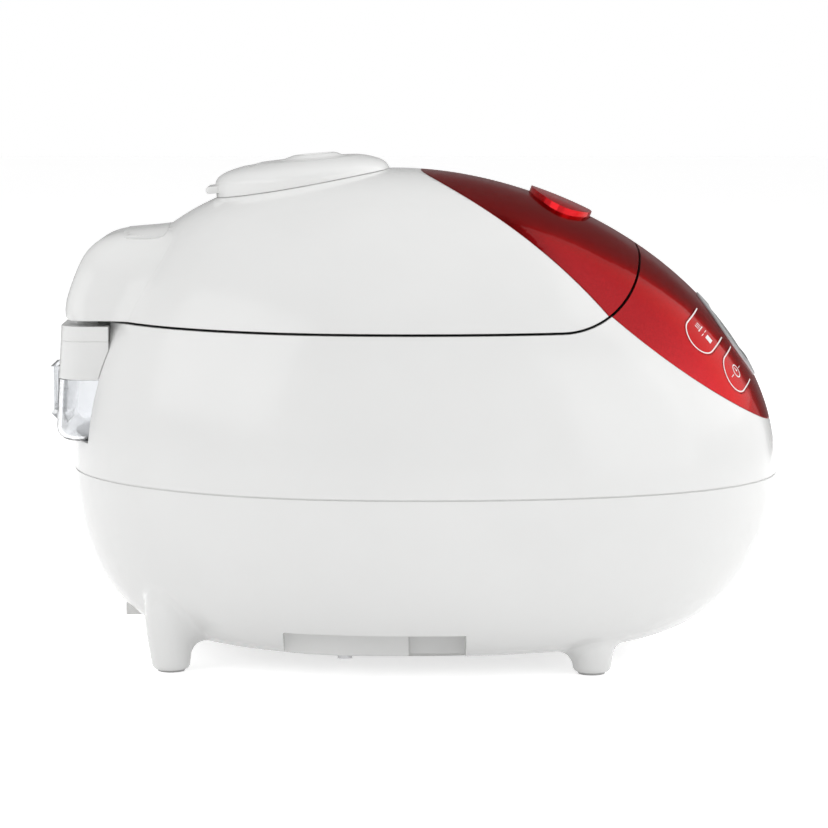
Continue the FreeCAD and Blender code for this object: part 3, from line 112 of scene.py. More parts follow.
world = bpy.data.worlds.new("studio")
scene.world = world
world.use_nodes = True
room = world.node_tree.nodes
wires = world.node_tree.links
direction = room.new("ShaderNodeTexCoord")
height = room.new("ShaderNodeSeparateXYZ")
wires.new(direction.outputs["Generated"], height.inputs["Vector"])
ceiling = room.new("ShaderNodeValToRGB")
ceiling.color_ramp.interpolation = "EASE"
set_ramp(ceiling, HORIZON_ENDS, WHITE, CEILING_STARTS, DIM)
wires.new(height.outputs["Z"], ceiling.inputs["Fac"])
wires.new(ceiling.outputs["Color"], room["Background"].inputs["Color"])
print("room nodes", len(room))

# %% [markdown]
# Soft boxes stand at the front, beside it and at the rear. One more hangs overhead and brightens the
# white top. It could be seen in the lacquer as a pale patch, so it is hidden from mirrors.

# %% Soft boxes
# Place, what the box looks at, its width and height in metres, and its power in watts.
SOFT_BOXES = {
    "front_box": ((1.30, 0.35, 1.10), (0, 0, 0.15), 2.1, 1.7, 9),
    "side_box": ((1.35, -1.0, 0.60), (0, 0, 0.12), 1.4, 1.2, 4.5),
    "rear_box": ((-1.5, -0.8, 0.95), (0, 0, 0.12), 1.8, 1.4, 8),
    "overhead_box": ((0, 0, 1.6), (0, 0, 0), 2.0, 2.0, 12.5),
}


def soft_box(name, place, look_at, width, tall, watts):
    lamp = bpy.data.lights.new(name, "AREA")
    lamp.shape = "RECTANGLE"
    lamp.size = width
    lamp.size_y = tall
    lamp.energy = watts
    holder = bpy.data.objects.new(name, lamp)
    holder.location = place
    holder.rotation_euler = aim(place, look_at)
    scene.collection.objects.link(holder)
    return holder


boxes = {name: soft_box(name, *setting) for name, setting in SOFT_BOXES.items()}
boxes["overhead_box"].visible_glossy = False
print("lamps", list(boxes))

# %% [markdown]
# A dark card stands behind the cooker. Photographers put such a card there so that the top of a glossy
# white object mirrors something dark and its edge shows against the white. The card could be left out,
# but the red lid would then turn milky along its top. Only mirrors see it.

# %% Dark card
CARD_PLACE = (-0.38, 1.0, 0.9)
CARD_SIZE = (2.64, 1, 1.8)
CARD_GREY = (0.24, 0.24, 0.24, 1)
MATT_ROUGHNESS = 0.9


def deselect():
    if bpy.context.mode != "OBJECT":
        bpy.ops.object.mode_set(mode="OBJECT")
    bpy.ops.object.select_all(action="DESELECT")


def type_in(node, values):
    """Types fixed values into a node's own sockets."""
    for socket, value in values.items():
        node.inputs[socket].default_value = value


def matt(name, colour):
    """A plain matt colour, as of cloth or paper."""
    finish = bpy.data.materials.new(name)
    finish.use_nodes = True
    type_in(finish.node_tree.nodes["Principled BSDF"], {"Base Color": colour, "Roughness": MATT_ROUGHNESS})
    return finish


deselect()
bpy.ops.mesh.primitive_plane_add(size=1, location=CARD_PLACE, rotation=(math.radians(90), 0, 0))
card = bpy.context.object
card.name = "dark_card"
bpy.ops.transform.resize(value=CARD_SIZE)
card.data.materials.append(matt("black_cloth", CARD_GREY))
card.visible_camera = False
card.visible_diffuse = False
card.visible_transmission = False
card.visible_shadow = False
print("card", [round(v, 2) for v in card.dimensions])

# %% [markdown]
# ## The table
# A plain pale floor carries the shadow under the feet. It could be left out and the cooker cut out on
# white, but then it would float. For the camera and in mirrors the floor glows a little, so that it
# reads as white paper, and the shadow stays.

# %% Floor
FLOOR_SIZE = 12
PAPER_GREY = (0.88, 0.88, 0.88, 1)
PAPER_SHINE = 0.1
PAPER_GLOW = 0.66
deselect()
bpy.ops.mesh.primitive_plane_add(size=FLOOR_SIZE, location=(0, 0, 0))
floor = bpy.context.object
floor.name = "floor"
paper = matt("paper", PAPER_GREY)
nodes, wires = paper.node_tree.nodes, paper.node_tree.links
type_in(nodes["Principled BSDF"], {"Specular IOR Level": PAPER_SHINE})
ray = nodes.new("ShaderNodeLightPath")
mirrored = nodes.new("ShaderNodeMath")
mirrored.operation = "MAXIMUM"
wires.new(ray.outputs["Is Glossy Ray"], mirrored.inputs[0])
wires.new(ray.outputs["Is Transmission Ray"], mirrored.inputs[1])
in_view = nodes.new("ShaderNodeMath")
in_view.operation = "MAXIMUM"
wires.new(ray.outputs["Is Camera Ray"], in_view.inputs[0])
wires.new(mirrored.outputs[0], in_view.inputs[1])
glow_level = nodes.new("ShaderNodeMath")
glow_level.operation = "MULTIPLY"
glow_level.inputs[1].default_value = PAPER_GLOW
wires.new(in_view.outputs[0], glow_level.inputs[0])
glow = nodes.new("ShaderNodeEmission")
wires.new(glow_level.outputs[0], glow.inputs["Strength"])
both = nodes.new("ShaderNodeAddShader")
wires.new(nodes["Principled BSDF"].outputs[0], both.inputs[0])
wires.new(glow.outputs[0], both.inputs[1])
wires.new(both.outputs[0], nodes["Material Output"].inputs["Surface"])
floor.data.materials.append(paper)
print("floor", tuple(floor.dimensions))

# %% [markdown]
# ## Finishes
# Each finish is a small node tree on one Principled shader. Colours that never change are typed into
# the shader, and only what varies over the surface is wired: a faint unevenness in the gloss, the
# ripple of a moulded skin, flakes in the lacquer. Object coordinates are in metres here, so a
# texture scale of 1000 repeats about every millimetre.

# %% Helpers for finishes
MM = 0.001
FAINT, STRONG = 0.3, 0.7  # most of a texture's values lie between these two
EDGE_SAMPLES = 4


def new_finish(name):
    finish = bpy.data.materials.new(name)
    finish.use_nodes = True
    nodes, wires = finish.node_tree.nodes, finish.node_tree.links
    return finish, nodes, wires, nodes["Principled BSDF"]


def texture_of(nodes, wires, kind, scale, **mapping):
    """A texture on the piece's own coordinates, which a Mapping node moves or stretches if asked to."""
    source = nodes.new("ShaderNodeTexCoord").outputs["Object"]
    if mapping:
        moved = nodes.new("ShaderNodeMapping")
        type_in(moved, mapping)
        wires.new(source, moved.inputs["Vector"])
        source = moved.outputs["Vector"]
    texture = nodes.new(kind)
    texture.inputs["Scale"].default_value = scale
    wires.new(source, texture.inputs["Vector"])
    return texture


def noise(nodes, wires, scale, detail=2.0, **mapping):
    texture = texture_of(nodes, wires, "ShaderNodeTexNoise", scale, **mapping)
    texture.inputs["Detail"].default_value = detail
    return texture


def spread(nodes, wires, source, low, high):
    """Wires a 0 to 1 value into a range of numbers."""
    span = nodes.new("ShaderNodeMapRange")
    type_in(span, {"From Min": FAINT, "From Max": STRONG, "To Min": low, "To Max": high})
    wires.new(source, span.inputs["Value"])
    return span.outputs["Result"]


def tones(nodes, wires, source, dark, light):
    """Wires a 0 to 1 value into a range of colours."""
    ramp = nodes.new("ShaderNodeValToRGB")
    set_ramp(ramp, FAINT, dark, STRONG, light)
    wires.new(source, ramp.inputs["Fac"])
    return ramp.outputs["Color"]


def ripple(nodes, wires, shader, source, strength, depth, round_edge=0.0):
    """Bump from a texture, over edges softened by a small radius."""
    bump = nodes.new("ShaderNodeBump")
    type_in(bump, {"Strength": strength, "Distance": depth})
    wires.new(source, bump.inputs["Height"])
    if round_edge > 0:
        soft = nodes.new("ShaderNodeBevel")
        soft.samples = EDGE_SAMPLES
        soft.inputs["Radius"].default_value = round_edge
        wires.new(soft.outputs["Normal"], bump.inputs["Normal"])
    wires.new(bump.outputs["Normal"], shader.inputs["Normal"])


print("helpers ready")

# %% [markdown]
# ### Moulded plastics
# The casing is gloss white plastic: a white that is a touch warm, a clear hard shine and an almost
# unseen ripple from the mould. A plain white shader would look like plaster, so the gloss varies a
# little and every edge is rounded by about half a millimetre in the shader.

# %% Gloss white and satin plastics
CLOUD_SCALE = 18.0
MOULD_DETAIL = 3.0
MOULD_RIPPLE = 0.15


def moulded(name, dark, light, rough, grain, depth, round_edge=0.0):
    finish, nodes, wires, shader = new_finish(name)
    slow = noise(nodes, wires, CLOUD_SCALE)
    wires.new(tones(nodes, wires, slow.outputs["Fac"], dark, light), shader.inputs["Base Color"])
    fine = noise(nodes, wires, grain, MOULD_DETAIL)
    wires.new(spread(nodes, wires, fine.outputs["Fac"], *rough), shader.inputs["Roughness"])
    ripple(nodes, wires, shader, fine.outputs["Fac"], MOULD_RIPPLE, depth, round_edge)
    return finish


gloss_white = moulded("gloss_white", dark=(0.835, 0.837, 0.830), light=(0.855, 0.857, 0.850),
                      rough=(0.13, 0.19), grain=420.0, depth=0.03 * MM, round_edge=0.6 * MM)
satin_white = moulded("satin_white", dark=(0.79, 0.79, 0.775), light=(0.82, 0.82, 0.805),
                      rough=(0.32, 0.42), grain=1500.0, depth=0.04 * MM, round_edge=0.5 * MM)
satin_dark = moulded("satin_dark", dark=(0.018, 0.018, 0.020), light=(0.026, 0.026, 0.028),
                     rough=(0.32, 0.45), grain=1500.0, depth=0.05 * MM, round_edge=0.4 * MM)
satin_grey = moulded("satin_grey", dark=(0.42, 0.42, 0.42), light=(0.46, 0.46, 0.455),
                     rough=(0.38, 0.5), grain=1500.0, depth=0.05 * MM, round_edge=0.4 * MM)
print("plastics", [m.name for m in (gloss_white, satin_white, satin_dark, satin_grey)])

# %% [markdown]
# ### Red lacquer
# The front panels are lacquered: a red with fine metal flakes under a clear coat. The flakes make it
# mirror the room in red, so it is bright where it faces the soft boxes and nearly maroon where it
# faces the ceiling. A flat red would miss that. Tiny cells of a Voronoi texture stand for the flakes,
# and the coat lies on top.

# %% Red lacquer
FLAKE_SCALE = 2600.0
FLAKE_DARK, FLAKE_LIGHT = (0.41, 0.013, 0.018), (0.48, 0.017, 0.023)
FLAKE_ROUGH = (0.21, 0.25)
FLAKE_RIPPLE = 0.03
LACQUER = {"Metallic": 1.0, "Specular Tint": (0.62, 0.10, 0.10, 1), "Coat Weight": 0.3,
           "Coat Roughness": 0.03}
red_lacquer, nodes, wires, shader = new_finish("red_lacquer")
flakes = texture_of(nodes, wires, "ShaderNodeTexVoronoi", FLAKE_SCALE)
flake_share = nodes.new("ShaderNodeSeparateColor")
wires.new(flakes.outputs["Color"], flake_share.inputs["Color"])
wires.new(tones(nodes, wires, flake_share.outputs["Red"], FLAKE_DARK, FLAKE_LIGHT),
          shader.inputs["Base Color"])
wires.new(spread(nodes, wires, flake_share.outputs["Green"], *FLAKE_ROUGH), shader.inputs["Roughness"])
type_in(shader, LACQUER)
ripple(nodes, wires, shader, flake_share.outputs["Blue"], FLAKE_RIPPLE, depth=0.03 * MM,
       round_edge=0.5 * MM)
print("red lacquer", len(nodes), "nodes")

# %% [markdown]
# ### Clear plastics
# The dew collector and the window over the display are clear, and a glass shader with hardly any colour
# does both. The lid button is cast in see-through red over a bright back. Glass would show the dark inside
# of the lid through it, so the button is a red that mirrors in red and lets light spread under its skin.

# %% Clear plastics
STREAK_SCALE = 60.0
PLASTIC_IOR = 1.49
RUBY = {"Metallic": 0.7, "Specular Tint": (0.8, 0.12, 0.12, 1), "Specular IOR Level": 0.35,
        "Subsurface Weight": 0.6, "Subsurface Radius": (8.0 * MM, 0.4 * MM, 0.4 * MM)}


def clear(name, dark, light, rough, pass_light=1.0):
    finish, nodes, wires, shader = new_finish(name)
    slow = noise(nodes, wires, STREAK_SCALE)
    wires.new(tones(nodes, wires, slow.outputs["Fac"], dark, light), shader.inputs["Base Color"])
    wires.new(spread(nodes, wires, slow.outputs["Fac"], *rough), shader.inputs["Roughness"])
    type_in(shader, {"Transmission Weight": pass_light, "IOR": PLASTIC_IOR})
    return finish


water_clear = clear("water_clear", dark=(0.80, 0.81, 0.83), light=(0.86, 0.87, 0.88), rough=(0.02, 0.06))
smoke_clear = clear("smoke_clear", dark=(0.80, 0.81, 0.82), light=(0.85, 0.86, 0.87), rough=(0.02, 0.05))
ruby_clear = clear("ruby_clear", dark=(0.56, 0.012, 0.018), light=(0.64, 0.018, 0.024), rough=(0.10, 0.16),
                   pass_light=0.0)
type_in(ruby_clear.node_tree.nodes["Principled BSDF"], RUBY)
print("clear plastics", [m.name for m in (water_clear, smoke_clear, ruby_clear)])

# %% [markdown]
# ### Metals
# Screws and pins are plain steel with a fine grain, the display's frame is painted silver, and the inner
# lid is turned aluminium. A grain in all directions would do for the screws alone. Rings round the pot's
# axis show how the aluminium was spun, so its ring texture is centred there with a Mapping node.

# %% Metals
METAL_DETAIL = 3.0
METAL_EDGE = 0.3 * MM
GRAIN_RIPPLE, GRAIN_DEPTH = 0.1, 0.03 * MM
RING_RIPPLE, RING_DEPTH = 0.12, 0.04 * MM
RING_WANDER = {"Distortion": 1.5, "Detail": 2.0}
pot_axis = 0.5 * (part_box("inner_pot")[0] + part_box("inner_pot")[1])


def metal(name, dark, light, rough, scale, stretch=(1, 1, 1), metallic=1.0):
    """Drawn metal, with a grain that is stretched along the piece."""
    finish, nodes, wires, shader = new_finish(name)
    grain = noise(nodes, wires, scale, METAL_DETAIL, Scale=stretch)
    wires.new(tones(nodes, wires, grain.outputs["Fac"], dark, light), shader.inputs["Base Color"])
    wires.new(spread(nodes, wires, grain.outputs["Fac"], *rough), shader.inputs["Roughness"])
    shader.inputs["Metallic"].default_value = metallic
    ripple(nodes, wires, shader, grain.outputs["Fac"], GRAIN_RIPPLE, GRAIN_DEPTH, METAL_EDGE)
    return finish


def spun(name, dark, light, rough, pitch):
    """Turned metal, with fine rings round the pot's axis."""
    finish, nodes, wires, shader = new_finish(name)
    rings = texture_of(nodes, wires, "ShaderNodeTexWave", pitch, Location=(-pot_axis.x, 0, 0))
    rings.wave_type = "RINGS"
    rings.rings_direction = "Z"
    type_in(rings, RING_WANDER)
    wires.new(tones(nodes, wires, rings.outputs["Fac"], dark, light), shader.inputs["Base Color"])
    wires.new(spread(nodes, wires, rings.outputs["Fac"], *rough), shader.inputs["Roughness"])
    shader.inputs["Metallic"].default_value = 1.0
    ripple(nodes, wires, shader, rings.outputs["Fac"], RING_RIPPLE, RING_DEPTH, METAL_EDGE)
    return finish


silver = metal("silver", dark=(0.44, 0.44, 0.45), light=(0.52, 0.52, 0.53), rough=(0.30, 0.38), scale=900.0,
               stretch=(1, 0.05, 1), metallic=0.35)
steel = metal("steel", dark=(0.46, 0.46, 0.47), light=(0.56, 0.56, 0.57), rough=(0.28, 0.40), scale=600.0,
              stretch=(1, 0.1, 1))
brass = metal("brass", dark=(0.60, 0.44, 0.20), light=(0.70, 0.52, 0.26), rough=(0.25, 0.35), scale=600.0)
aluminium = spun("aluminium", dark=(0.66, 0.66, 0.67), light=(0.76, 0.76, 0.77), rough=(0.28, 0.40),
                 pitch=420.0)
print("metals", [m.name for m in (silver, steel, brass, aluminium)])

# %% [markdown]
# ### Non-stick coating
# The pot is coated in a dark, slightly glossy layer with pale speckles. Speckles from a noise would run
# together, so the middles of Voronoi cells are used: each is a small round dot of its own.

# %% Non-stick coating
SPECKLE_SCALE = 620.0
DOT_ENDS, COAT_STARTS = 0.10, 0.22
DOT_TONE, COAT_TONE = (0.30, 0.29, 0.27), (0.030, 0.030, 0.032)
nonstick, nodes, wires, shader = new_finish("nonstick")
speckle = texture_of(nodes, wires, "ShaderNodeTexVoronoi", SPECKLE_SCALE)
dots = nodes.new("ShaderNodeValToRGB")
set_ramp(dots, DOT_ENDS, DOT_TONE, COAT_STARTS, COAT_TONE)
wires.new(speckle.outputs["Distance"], dots.inputs["Fac"])
wires.new(dots.outputs["Color"], shader.inputs["Base Color"])
wires.new(spread(nodes, wires, speckle.outputs["Distance"], 0.42, 0.30), shader.inputs["Roughness"])
type_in(shader, {"Coat Weight": 0.25})
ripple(nodes, wires, shader, speckle.outputs["Distance"], strength=0.1, depth=0.03 * MM,
       round_edge=0.4 * MM)
print("non-stick", len(nodes), "nodes")

# %% [markdown]
# ### Silicone
# The gasket round the inner lid, the seal of the steam cap and the knob are pale silicone. It is dull and
# lets a little light in, so a plain grey would look too hard: some subsurface light softens it.

# %% Silicone
MIST_SCALE, MIST_DETAIL = 240.0, 3.0
silicone, nodes, wires, shader = new_finish("silicone")
mist = noise(nodes, wires, MIST_SCALE, MIST_DETAIL)
wires.new(tones(nodes, wires, mist.outputs["Fac"], (0.62, 0.63, 0.62), (0.70, 0.71, 0.70)),
          shader.inputs["Base Color"])
wires.new(spread(nodes, wires, mist.outputs["Fac"], 0.42, 0.56), shader.inputs["Roughness"])
type_in(shader, {"Subsurface Weight": 0.3, "Subsurface Radius": (3.0 * MM, 3.0 * MM, 3.0 * MM)})
ripple(nodes, wires, shader, mist.outputs["Fac"], strength=0.1, depth=0.04 * MM, round_edge=0.4 * MM)
print("silicone", len(nodes), "nodes")

# %% [markdown]
# ### Circuit boards
# The boards are inside and seldom seen. A green with a lighter net of lines is enough for their tracks,
# and a Brick texture draws such a net without any drawing by hand.

# %% Circuit board
TRACKS = {"Color1": (0.012, 0.115, 0.035, 1), "Color2": (0.016, 0.140, 0.045, 1),
          "Mortar": (0.055, 0.23, 0.075, 1), "Mortar Size": 0.03}
TRACK_SCALE = 130.0
board_green, nodes, wires, shader = new_finish("board_green")
tracks = texture_of(nodes, wires, "ShaderNodeTexBrick", TRACK_SCALE)
type_in(tracks, TRACKS)
wires.new(tracks.outputs["Color"], shader.inputs["Base Color"])
wires.new(spread(nodes, wires, tracks.outputs["Fac"], 0.28, 0.40), shader.inputs["Roughness"])
ripple(nodes, wires, shader, tracks.outputs["Fac"], strength=0.2, depth=0.04 * MM, round_edge=0.2 * MM)
print("circuit board", len(nodes), "nodes")

# %% [markdown]
# ## The solids get their finish
# Every solid is named, so one list says which finish goes on which. The imported meshes are loose
# triangles, which would show as facets on a gloss surface. We could model each shell again, but its
# shape is already right, so a copy of it is merged and shaded smooth, and stands for the solid. What is
# shut in and never seen keeps its own mesh.

# %% Which finish goes where
FINISH = {
    gloss_white: ["lower_case", "upper_case", "lid_cover", "hinge_housing", "rear_cover", "steam_cap",
                  "steam_cap_base"],
    satin_white: ["lid_liner", "base_cover", "inlet_socket", "steam_duct"],
    red_lacquer: ["control_panel", "lid_panel", "key_upper_near", "key_upper_far", "key_lower_near",
                  "key_lower_far"],
    ruby_clear: ["lid_button"],
    water_clear: ["dew_collector"],
    smoke_clear: ["display_window"],
    satin_dark: ["deck", "display_module", "buzzer", "power_parts", "latch_frame", "key_switches",
                 "side_heater"],
    satin_grey: ["foot_pads"],
    silver: ["display_bezel"],
    board_green: ["control_board", "power_board"],
    steel: ["cover_screws", "lid_screws", "hinge_pin", "hinge_spring", "latch_strike", "latch_pin",
            "latch_hook", "button_springs", "sensor_spring", "sensor_bracket", "heater_supports"],
    brass: ["inlet_pins"],
    aluminium: ["inner_lid", "pot_chamber", "heating_plate", "heating_element", "sensor_cup"],
    nonstick: ["inner_pot"],
    silicone: ["lid_gasket", "steam_cap_seal"],
}
HIDDEN_INSIDE = {"display_module", "control_board", "key_switches", "buzzer", "power_board", "power_parts",
                 "heating_element", "heater_supports", "side_heater", "sensor_bracket", "hinge_spring",
                 "hinge_pin", "latch_frame", "latch_pin", "lid_screws", "steam_cap_seal"}
record = frame["record"]["behaviour"]
body_of = {node: body for body, members in record["bodies"].items() for node in members}

# %% Finish each solid
MERGE = 0.002 * MM
SMOOTH_BELOW = math.radians(28)
EVEN_WEIGHT = 80


def take(piece):
    """Selects one piece and nothing else, and makes it the active one."""
    deselect()
    bpy.context.view_layer.objects.active = piece
    piece.select_set(True)


def smooth_copy(node, finish):
    """A merged, smooth copy of a solid that is shown in its place."""
    piece = bpy.data.objects.new(node + "_skin", frame["nodes"][node].data.copy())
    scene.collection.objects.link(piece)
    take(piece)
    bpy.ops.object.mode_set(mode="EDIT")
    bpy.ops.mesh.select_all(action="SELECT")
    bpy.ops.mesh.customdata_custom_splitnormals_clear()
    bpy.ops.mesh.remove_doubles(threshold=MERGE)
    bpy.ops.object.mode_set(mode="OBJECT")
    bpy.ops.object.shade_smooth_by_angle(angle=SMOOTH_BELOW)
    even = piece.modifiers.new("even", "WEIGHTED_NORMAL")
    even.weight = EVEN_WEIGHT
    even.keep_sharp = True
    bpy.ops.object.modifier_apply(modifier=even.name)
    piece.data.materials.clear()
    piece.data.materials.append(finish)
    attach(piece, body_of[node])
    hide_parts(node)
    return piece


skins = {}
for finish, members in FINISH.items():
    for node in members:
        if node in HIDDEN_INSIDE:
            solid = frame["nodes"][node]
            solid.data.materials.clear()
            solid.data.materials.append(finish)
        else:
            skins[node] = smooth_copy(node, finish)
print("finished copies", len(skins), "triangles", sum(len(p.data.polygons) for p in skins.values()))

# %% [markdown]
# ## Printed signs on the keys
# Each key carries a white printed line along its edge, open towards the display, and a small sign.
# The print could be painted in the shader, but such thin lines would blur. So each print is a film of
# ink: it is drawn flat in the panel's own plane, pressed on to the curved key with a Shrinkwrap and
# given a tenth of a millimetre of thickness, half of it in the key.

# %% The panel's plane
PANEL_MIDDLE = (0.15665, 0, 0.158)
PANEL_TILT = math.radians(53.5)
panel_plane = Matrix.Translation(PANEL_MIDDLE) @ Matrix.Rotation(PANEL_TILT, 4, "Y")
ink_white = moulded("ink_white", dark=(0.80, 0.80, 0.79), light=(0.86, 0.86, 0.85), rough=(0.35, 0.45),
                    grain=2500.0, depth=0.01 * MM)
print("panel plane at", [round(v, 4) for v in panel_plane.translation])


# %% Steps of modelling
def edit(mode="FACE"):
    bpy.ops.object.mode_set(mode="EDIT")
    bpy.ops.mesh.select_mode(type=mode)


def done():
    bpy.ops.object.mode_set(mode="OBJECT")
    return bpy.context.object


def settle():
    """Writes the active piece's place, turn and size into its mesh."""
    bpy.ops.object.transform_apply(location=True, rotation=True, scale=True)


def pull(move):
    """Extrudes what is selected by a move."""
    bpy.ops.mesh.extrude_region_move(TRANSFORM_OT_translate={"value": move})


def face_outwards():
    bpy.ops.mesh.select_all(action="SELECT")
    bpy.ops.mesh.normals_make_consistent(inside=False)


def pick_faces(piece, test):
    """Selects the faces whose centre and normal pass the test, and nothing else."""
    bpy.ops.object.mode_set(mode="EDIT")
    bpy.ops.mesh.select_all(action="DESELECT")
    bpy.ops.object.mode_set(mode="OBJECT")
    for face in piece.data.polygons:
        face.select = test(face.center, face.normal)
    edit()


def applied(piece, kind, **settings):
    """Adds a modifier, sets it and applies it at once."""
    take(piece)
    tool = piece.modifiers.new(kind.lower(), kind)
    for key, value in settings.items():
        setattr(tool, key, value)
    bpy.ops.object.modifier_apply(modifier=tool.name)


print("modelling steps ready")

# %% Flat shapes
BAR_CORNER, BAR_STEPS = 0.2, 2  # the corner as a share of a bar's width
TILE_CORNER, TILE_STEPS = 0.12, 3  # the corner as a share of a tile's radius
ROUND_STEPS = 3
RING_STEPS = 40


def bar(x, y, long_x, long_y, corner=None):
    """A flat bar with its middle at x, y. Its corners are softened, or rounded by a given radius."""
    deselect()
    bpy.ops.mesh.primitive_plane_add(size=1, location=(x, y, 0))
    bpy.ops.transform.resize(value=(long_x, long_y, 1))
    settle()
    edit()
    bpy.ops.mesh.select_all(action="SELECT")
    radius, steps = (corner, ROUND_STEPS) if corner else (BAR_CORNER * min(long_x, long_y), BAR_STEPS)
    bpy.ops.mesh.bevel(offset=radius, segments=steps, affect="VERTICES")
    return done()


def ring(x, y, radius, width):
    """A flat ring."""
    deselect()
    bpy.ops.mesh.primitive_circle_add(vertices=RING_STEPS, radius=radius, fill_type="NGON",
                                      location=(x, y, 0))
    settle()
    edit()
    bpy.ops.mesh.select_all(action="SELECT")
    bpy.ops.mesh.inset(thickness=width)
    bpy.ops.mesh.delete(type="FACE")
    return done()


def tile(x, y, radius, corners, turn):
    """A flat regular shape with softened corners, such as a triangle or a square, turned by degrees."""
    deselect()
    bpy.ops.mesh.primitive_circle_add(vertices=corners, radius=radius, fill_type="NGON", location=(x, y, 0),
                                      rotation=(0, 0, math.radians(turn)))
    settle()
    edit()
    bpy.ops.mesh.select_all(action="SELECT")
    bpy.ops.mesh.bevel(offset=TILE_CORNER * radius, segments=TILE_STEPS, affect="VERTICES")
    return done()


print("flat shapes ready")

# %% Joining and pressing on
FILM = 0.10 * MM


def joined(pieces, name):
    take(pieces[0])
    for piece in pieces:
        piece.select_set(True)
    bpy.ops.object.join()
    pieces[0].name = name
    return pieces[0]


def set_down(piece, plane):
    """Moves a flat drawing into its plane and writes that place into its mesh."""
    take(piece)
    piece.matrix_world = plane
    settle()


def press_on(piece, plane, target):
    """Presses a flat drawing along its own Z on to a piece, and gives it the thickness of a film."""
    piece.matrix_world = plane
    applied(piece, "SHRINKWRAP", target=target, wrap_method="PROJECT", use_project_z=True,
            use_negative_direction=True, use_positive_direction=True)
    set_down(piece, plane)
    applied(piece, "SOLIDIFY", thickness=FILM, offset=0.0)


print("film of ink", FILM / MM, "mm")

# %% [markdown]
# The line along a key starts as a disc. Half of it is cut away, the cut edge is pulled out in steps to
# the length of the key, the sheet is inset by the width of the line, and its middle and the end towards
# the display are taken out.

# %% Key lines
# How far down the panel a key lies, and where it starts and ends, measured from the panel's middle.
KEY_PLACES = {"upper": (-15.3 * MM, 49.5 * MM, 81.0 * MM), "lower": (10.0 * MM, 45.5 * MM, 73.5 * MM)}
KEY_R = 10.0 * MM
LINE_EDGE = 0.45 * MM
LINE_WIDTH = 0.65 * MM
LINE_STEPS = 7
DISC_STEPS = 72


def key_line(down, start, end, side):
    """The printed line of one key; side is -1 for the near keys and 1 for the far ones."""
    deselect()
    bpy.ops.mesh.primitive_circle_add(vertices=DISC_STEPS, radius=KEY_R - LINE_EDGE, fill_type="NGON")
    line = bpy.context.object
    edit("EDGE")
    bpy.ops.mesh.select_all(action="SELECT")
    bpy.ops.mesh.bisect(plane_co=(0, 0, 0), plane_no=(0, 1, 0), clear_inner=True)
    straight = end - KEY_R - start
    for _ in range(LINE_STEPS):
        pull((0, -straight / LINE_STEPS, 0))
    bpy.ops.mesh.select_all(action="SELECT")
    bpy.ops.mesh.select_mode(type="FACE")
    bpy.ops.mesh.select_all(action="SELECT")
    bpy.ops.mesh.inset(thickness=LINE_WIDTH, use_boundary=True)
    bpy.ops.mesh.delete(type="FACE")
    done()
    pick_faces(line, lambda c, n: c.y < -straight + LINE_WIDTH and abs(c.x) < KEY_R - 2 * LINE_WIDTH)
    bpy.ops.mesh.delete(type="FACE")
    done()
    set_down(line, Matrix.Translation((down, side * (end - KEY_R), 0)) @ Matrix.Scale(side, 4, (0, 1, 0)))
    return line


print("key line", round(LINE_WIDTH / MM, 2), "mm wide")

# %% [markdown]
# The signs are the ones found on many appliances: a square to stop with a bar under rising heat for
# keeping warm, a clock for the timer, a triangle to start, and three lines for the menu. Two short
# dashes stand at each sign, as printers set them off. Each sign could have a function of its own, but
# a table of flat shapes is shorter and easier to change.

# %% Key signs
# Millimetres from the middle of the key: down and right, then the height and the width of a bar, the radius
# and the width of a ring, or the radius, the number of corners and the turn in degrees of a tile.
SIGN_BARS = {
    "key_upper_near": [(-4.2, -1.7, 2.6, 0.55), (-4.2, 0, 2.6, 0.55), (-4.2, 1.7, 2.6, 0.55),
                       (-2.2, 0, 0.6, 6.2), (0.4, -2.2, 0.35, 2.6), (0.4, 2.2, 0.35, 2.6)],
    "key_lower_near": [(0, -6.4, 0.35, 3.2), (0, 6.4, 0.35, 3.2), (-0.9, 0, 2.3, 0.55),
                       (0, 0.7, 0.55, 1.9)],
    "key_upper_far": [(0, -6.6, 0.35, 3.2), (0, 6.6, 0.35, 3.2)],
    "key_lower_far": [(0, -6.6, 0.35, 3.2), (0, 6.6, 0.35, 3.2), (-2.0, 0, 0.75, 6.4), (0, 0, 0.75, 6.4),
                      (2.0, 0, 0.75, 6.4)],
}
SIGN_RINGS = {"key_lower_near": [(0, 0, 3.4, 0.6)]}
SIGN_TILES = {"key_upper_near": [(4.2, 0, 2.7, 4, 45)], "key_upper_far": [(0, 0, 3.6, 3, 90)]}
SIGN_SHIFT = 1.0 * MM


def signs(key, x, y):
    """The flat signs of one key, with its middle at x, y; up on the panel is -X, right is +Y."""
    shapes = [bar(x + down * MM, y + right * MM, tall * MM, wide * MM)
              for down, right, tall, wide in SIGN_BARS[key]]
    shapes += [ring(x + down * MM, y + right * MM, radius * MM, width * MM)
               for down, right, radius, width in SIGN_RINGS.get(key, [])]
    shapes += [tile(x + down * MM, y + right * MM, radius * MM, corners, turn)
               for down, right, radius, corners, turn in SIGN_TILES.get(key, [])]
    return shapes


prints = []
for level, (down, start, end) in KEY_PLACES.items():
    for where, side in (("near", -1), ("far", 1)):
        key = "key_%s_%s" % (level, where)
        middle = side * (0.5 * (start + end) + SIGN_SHIFT)
        sheet = joined([key_line(down, start, end, side)] + signs(key, down, middle), key + "_print")
        press_on(sheet, panel_plane, skins[key])
        sheet.data.materials.append(ink_white)
        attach(sheet, key)
        prints.append(sheet)
print("prints", [(p.name, len(p.data.polygons)) for p in prints])

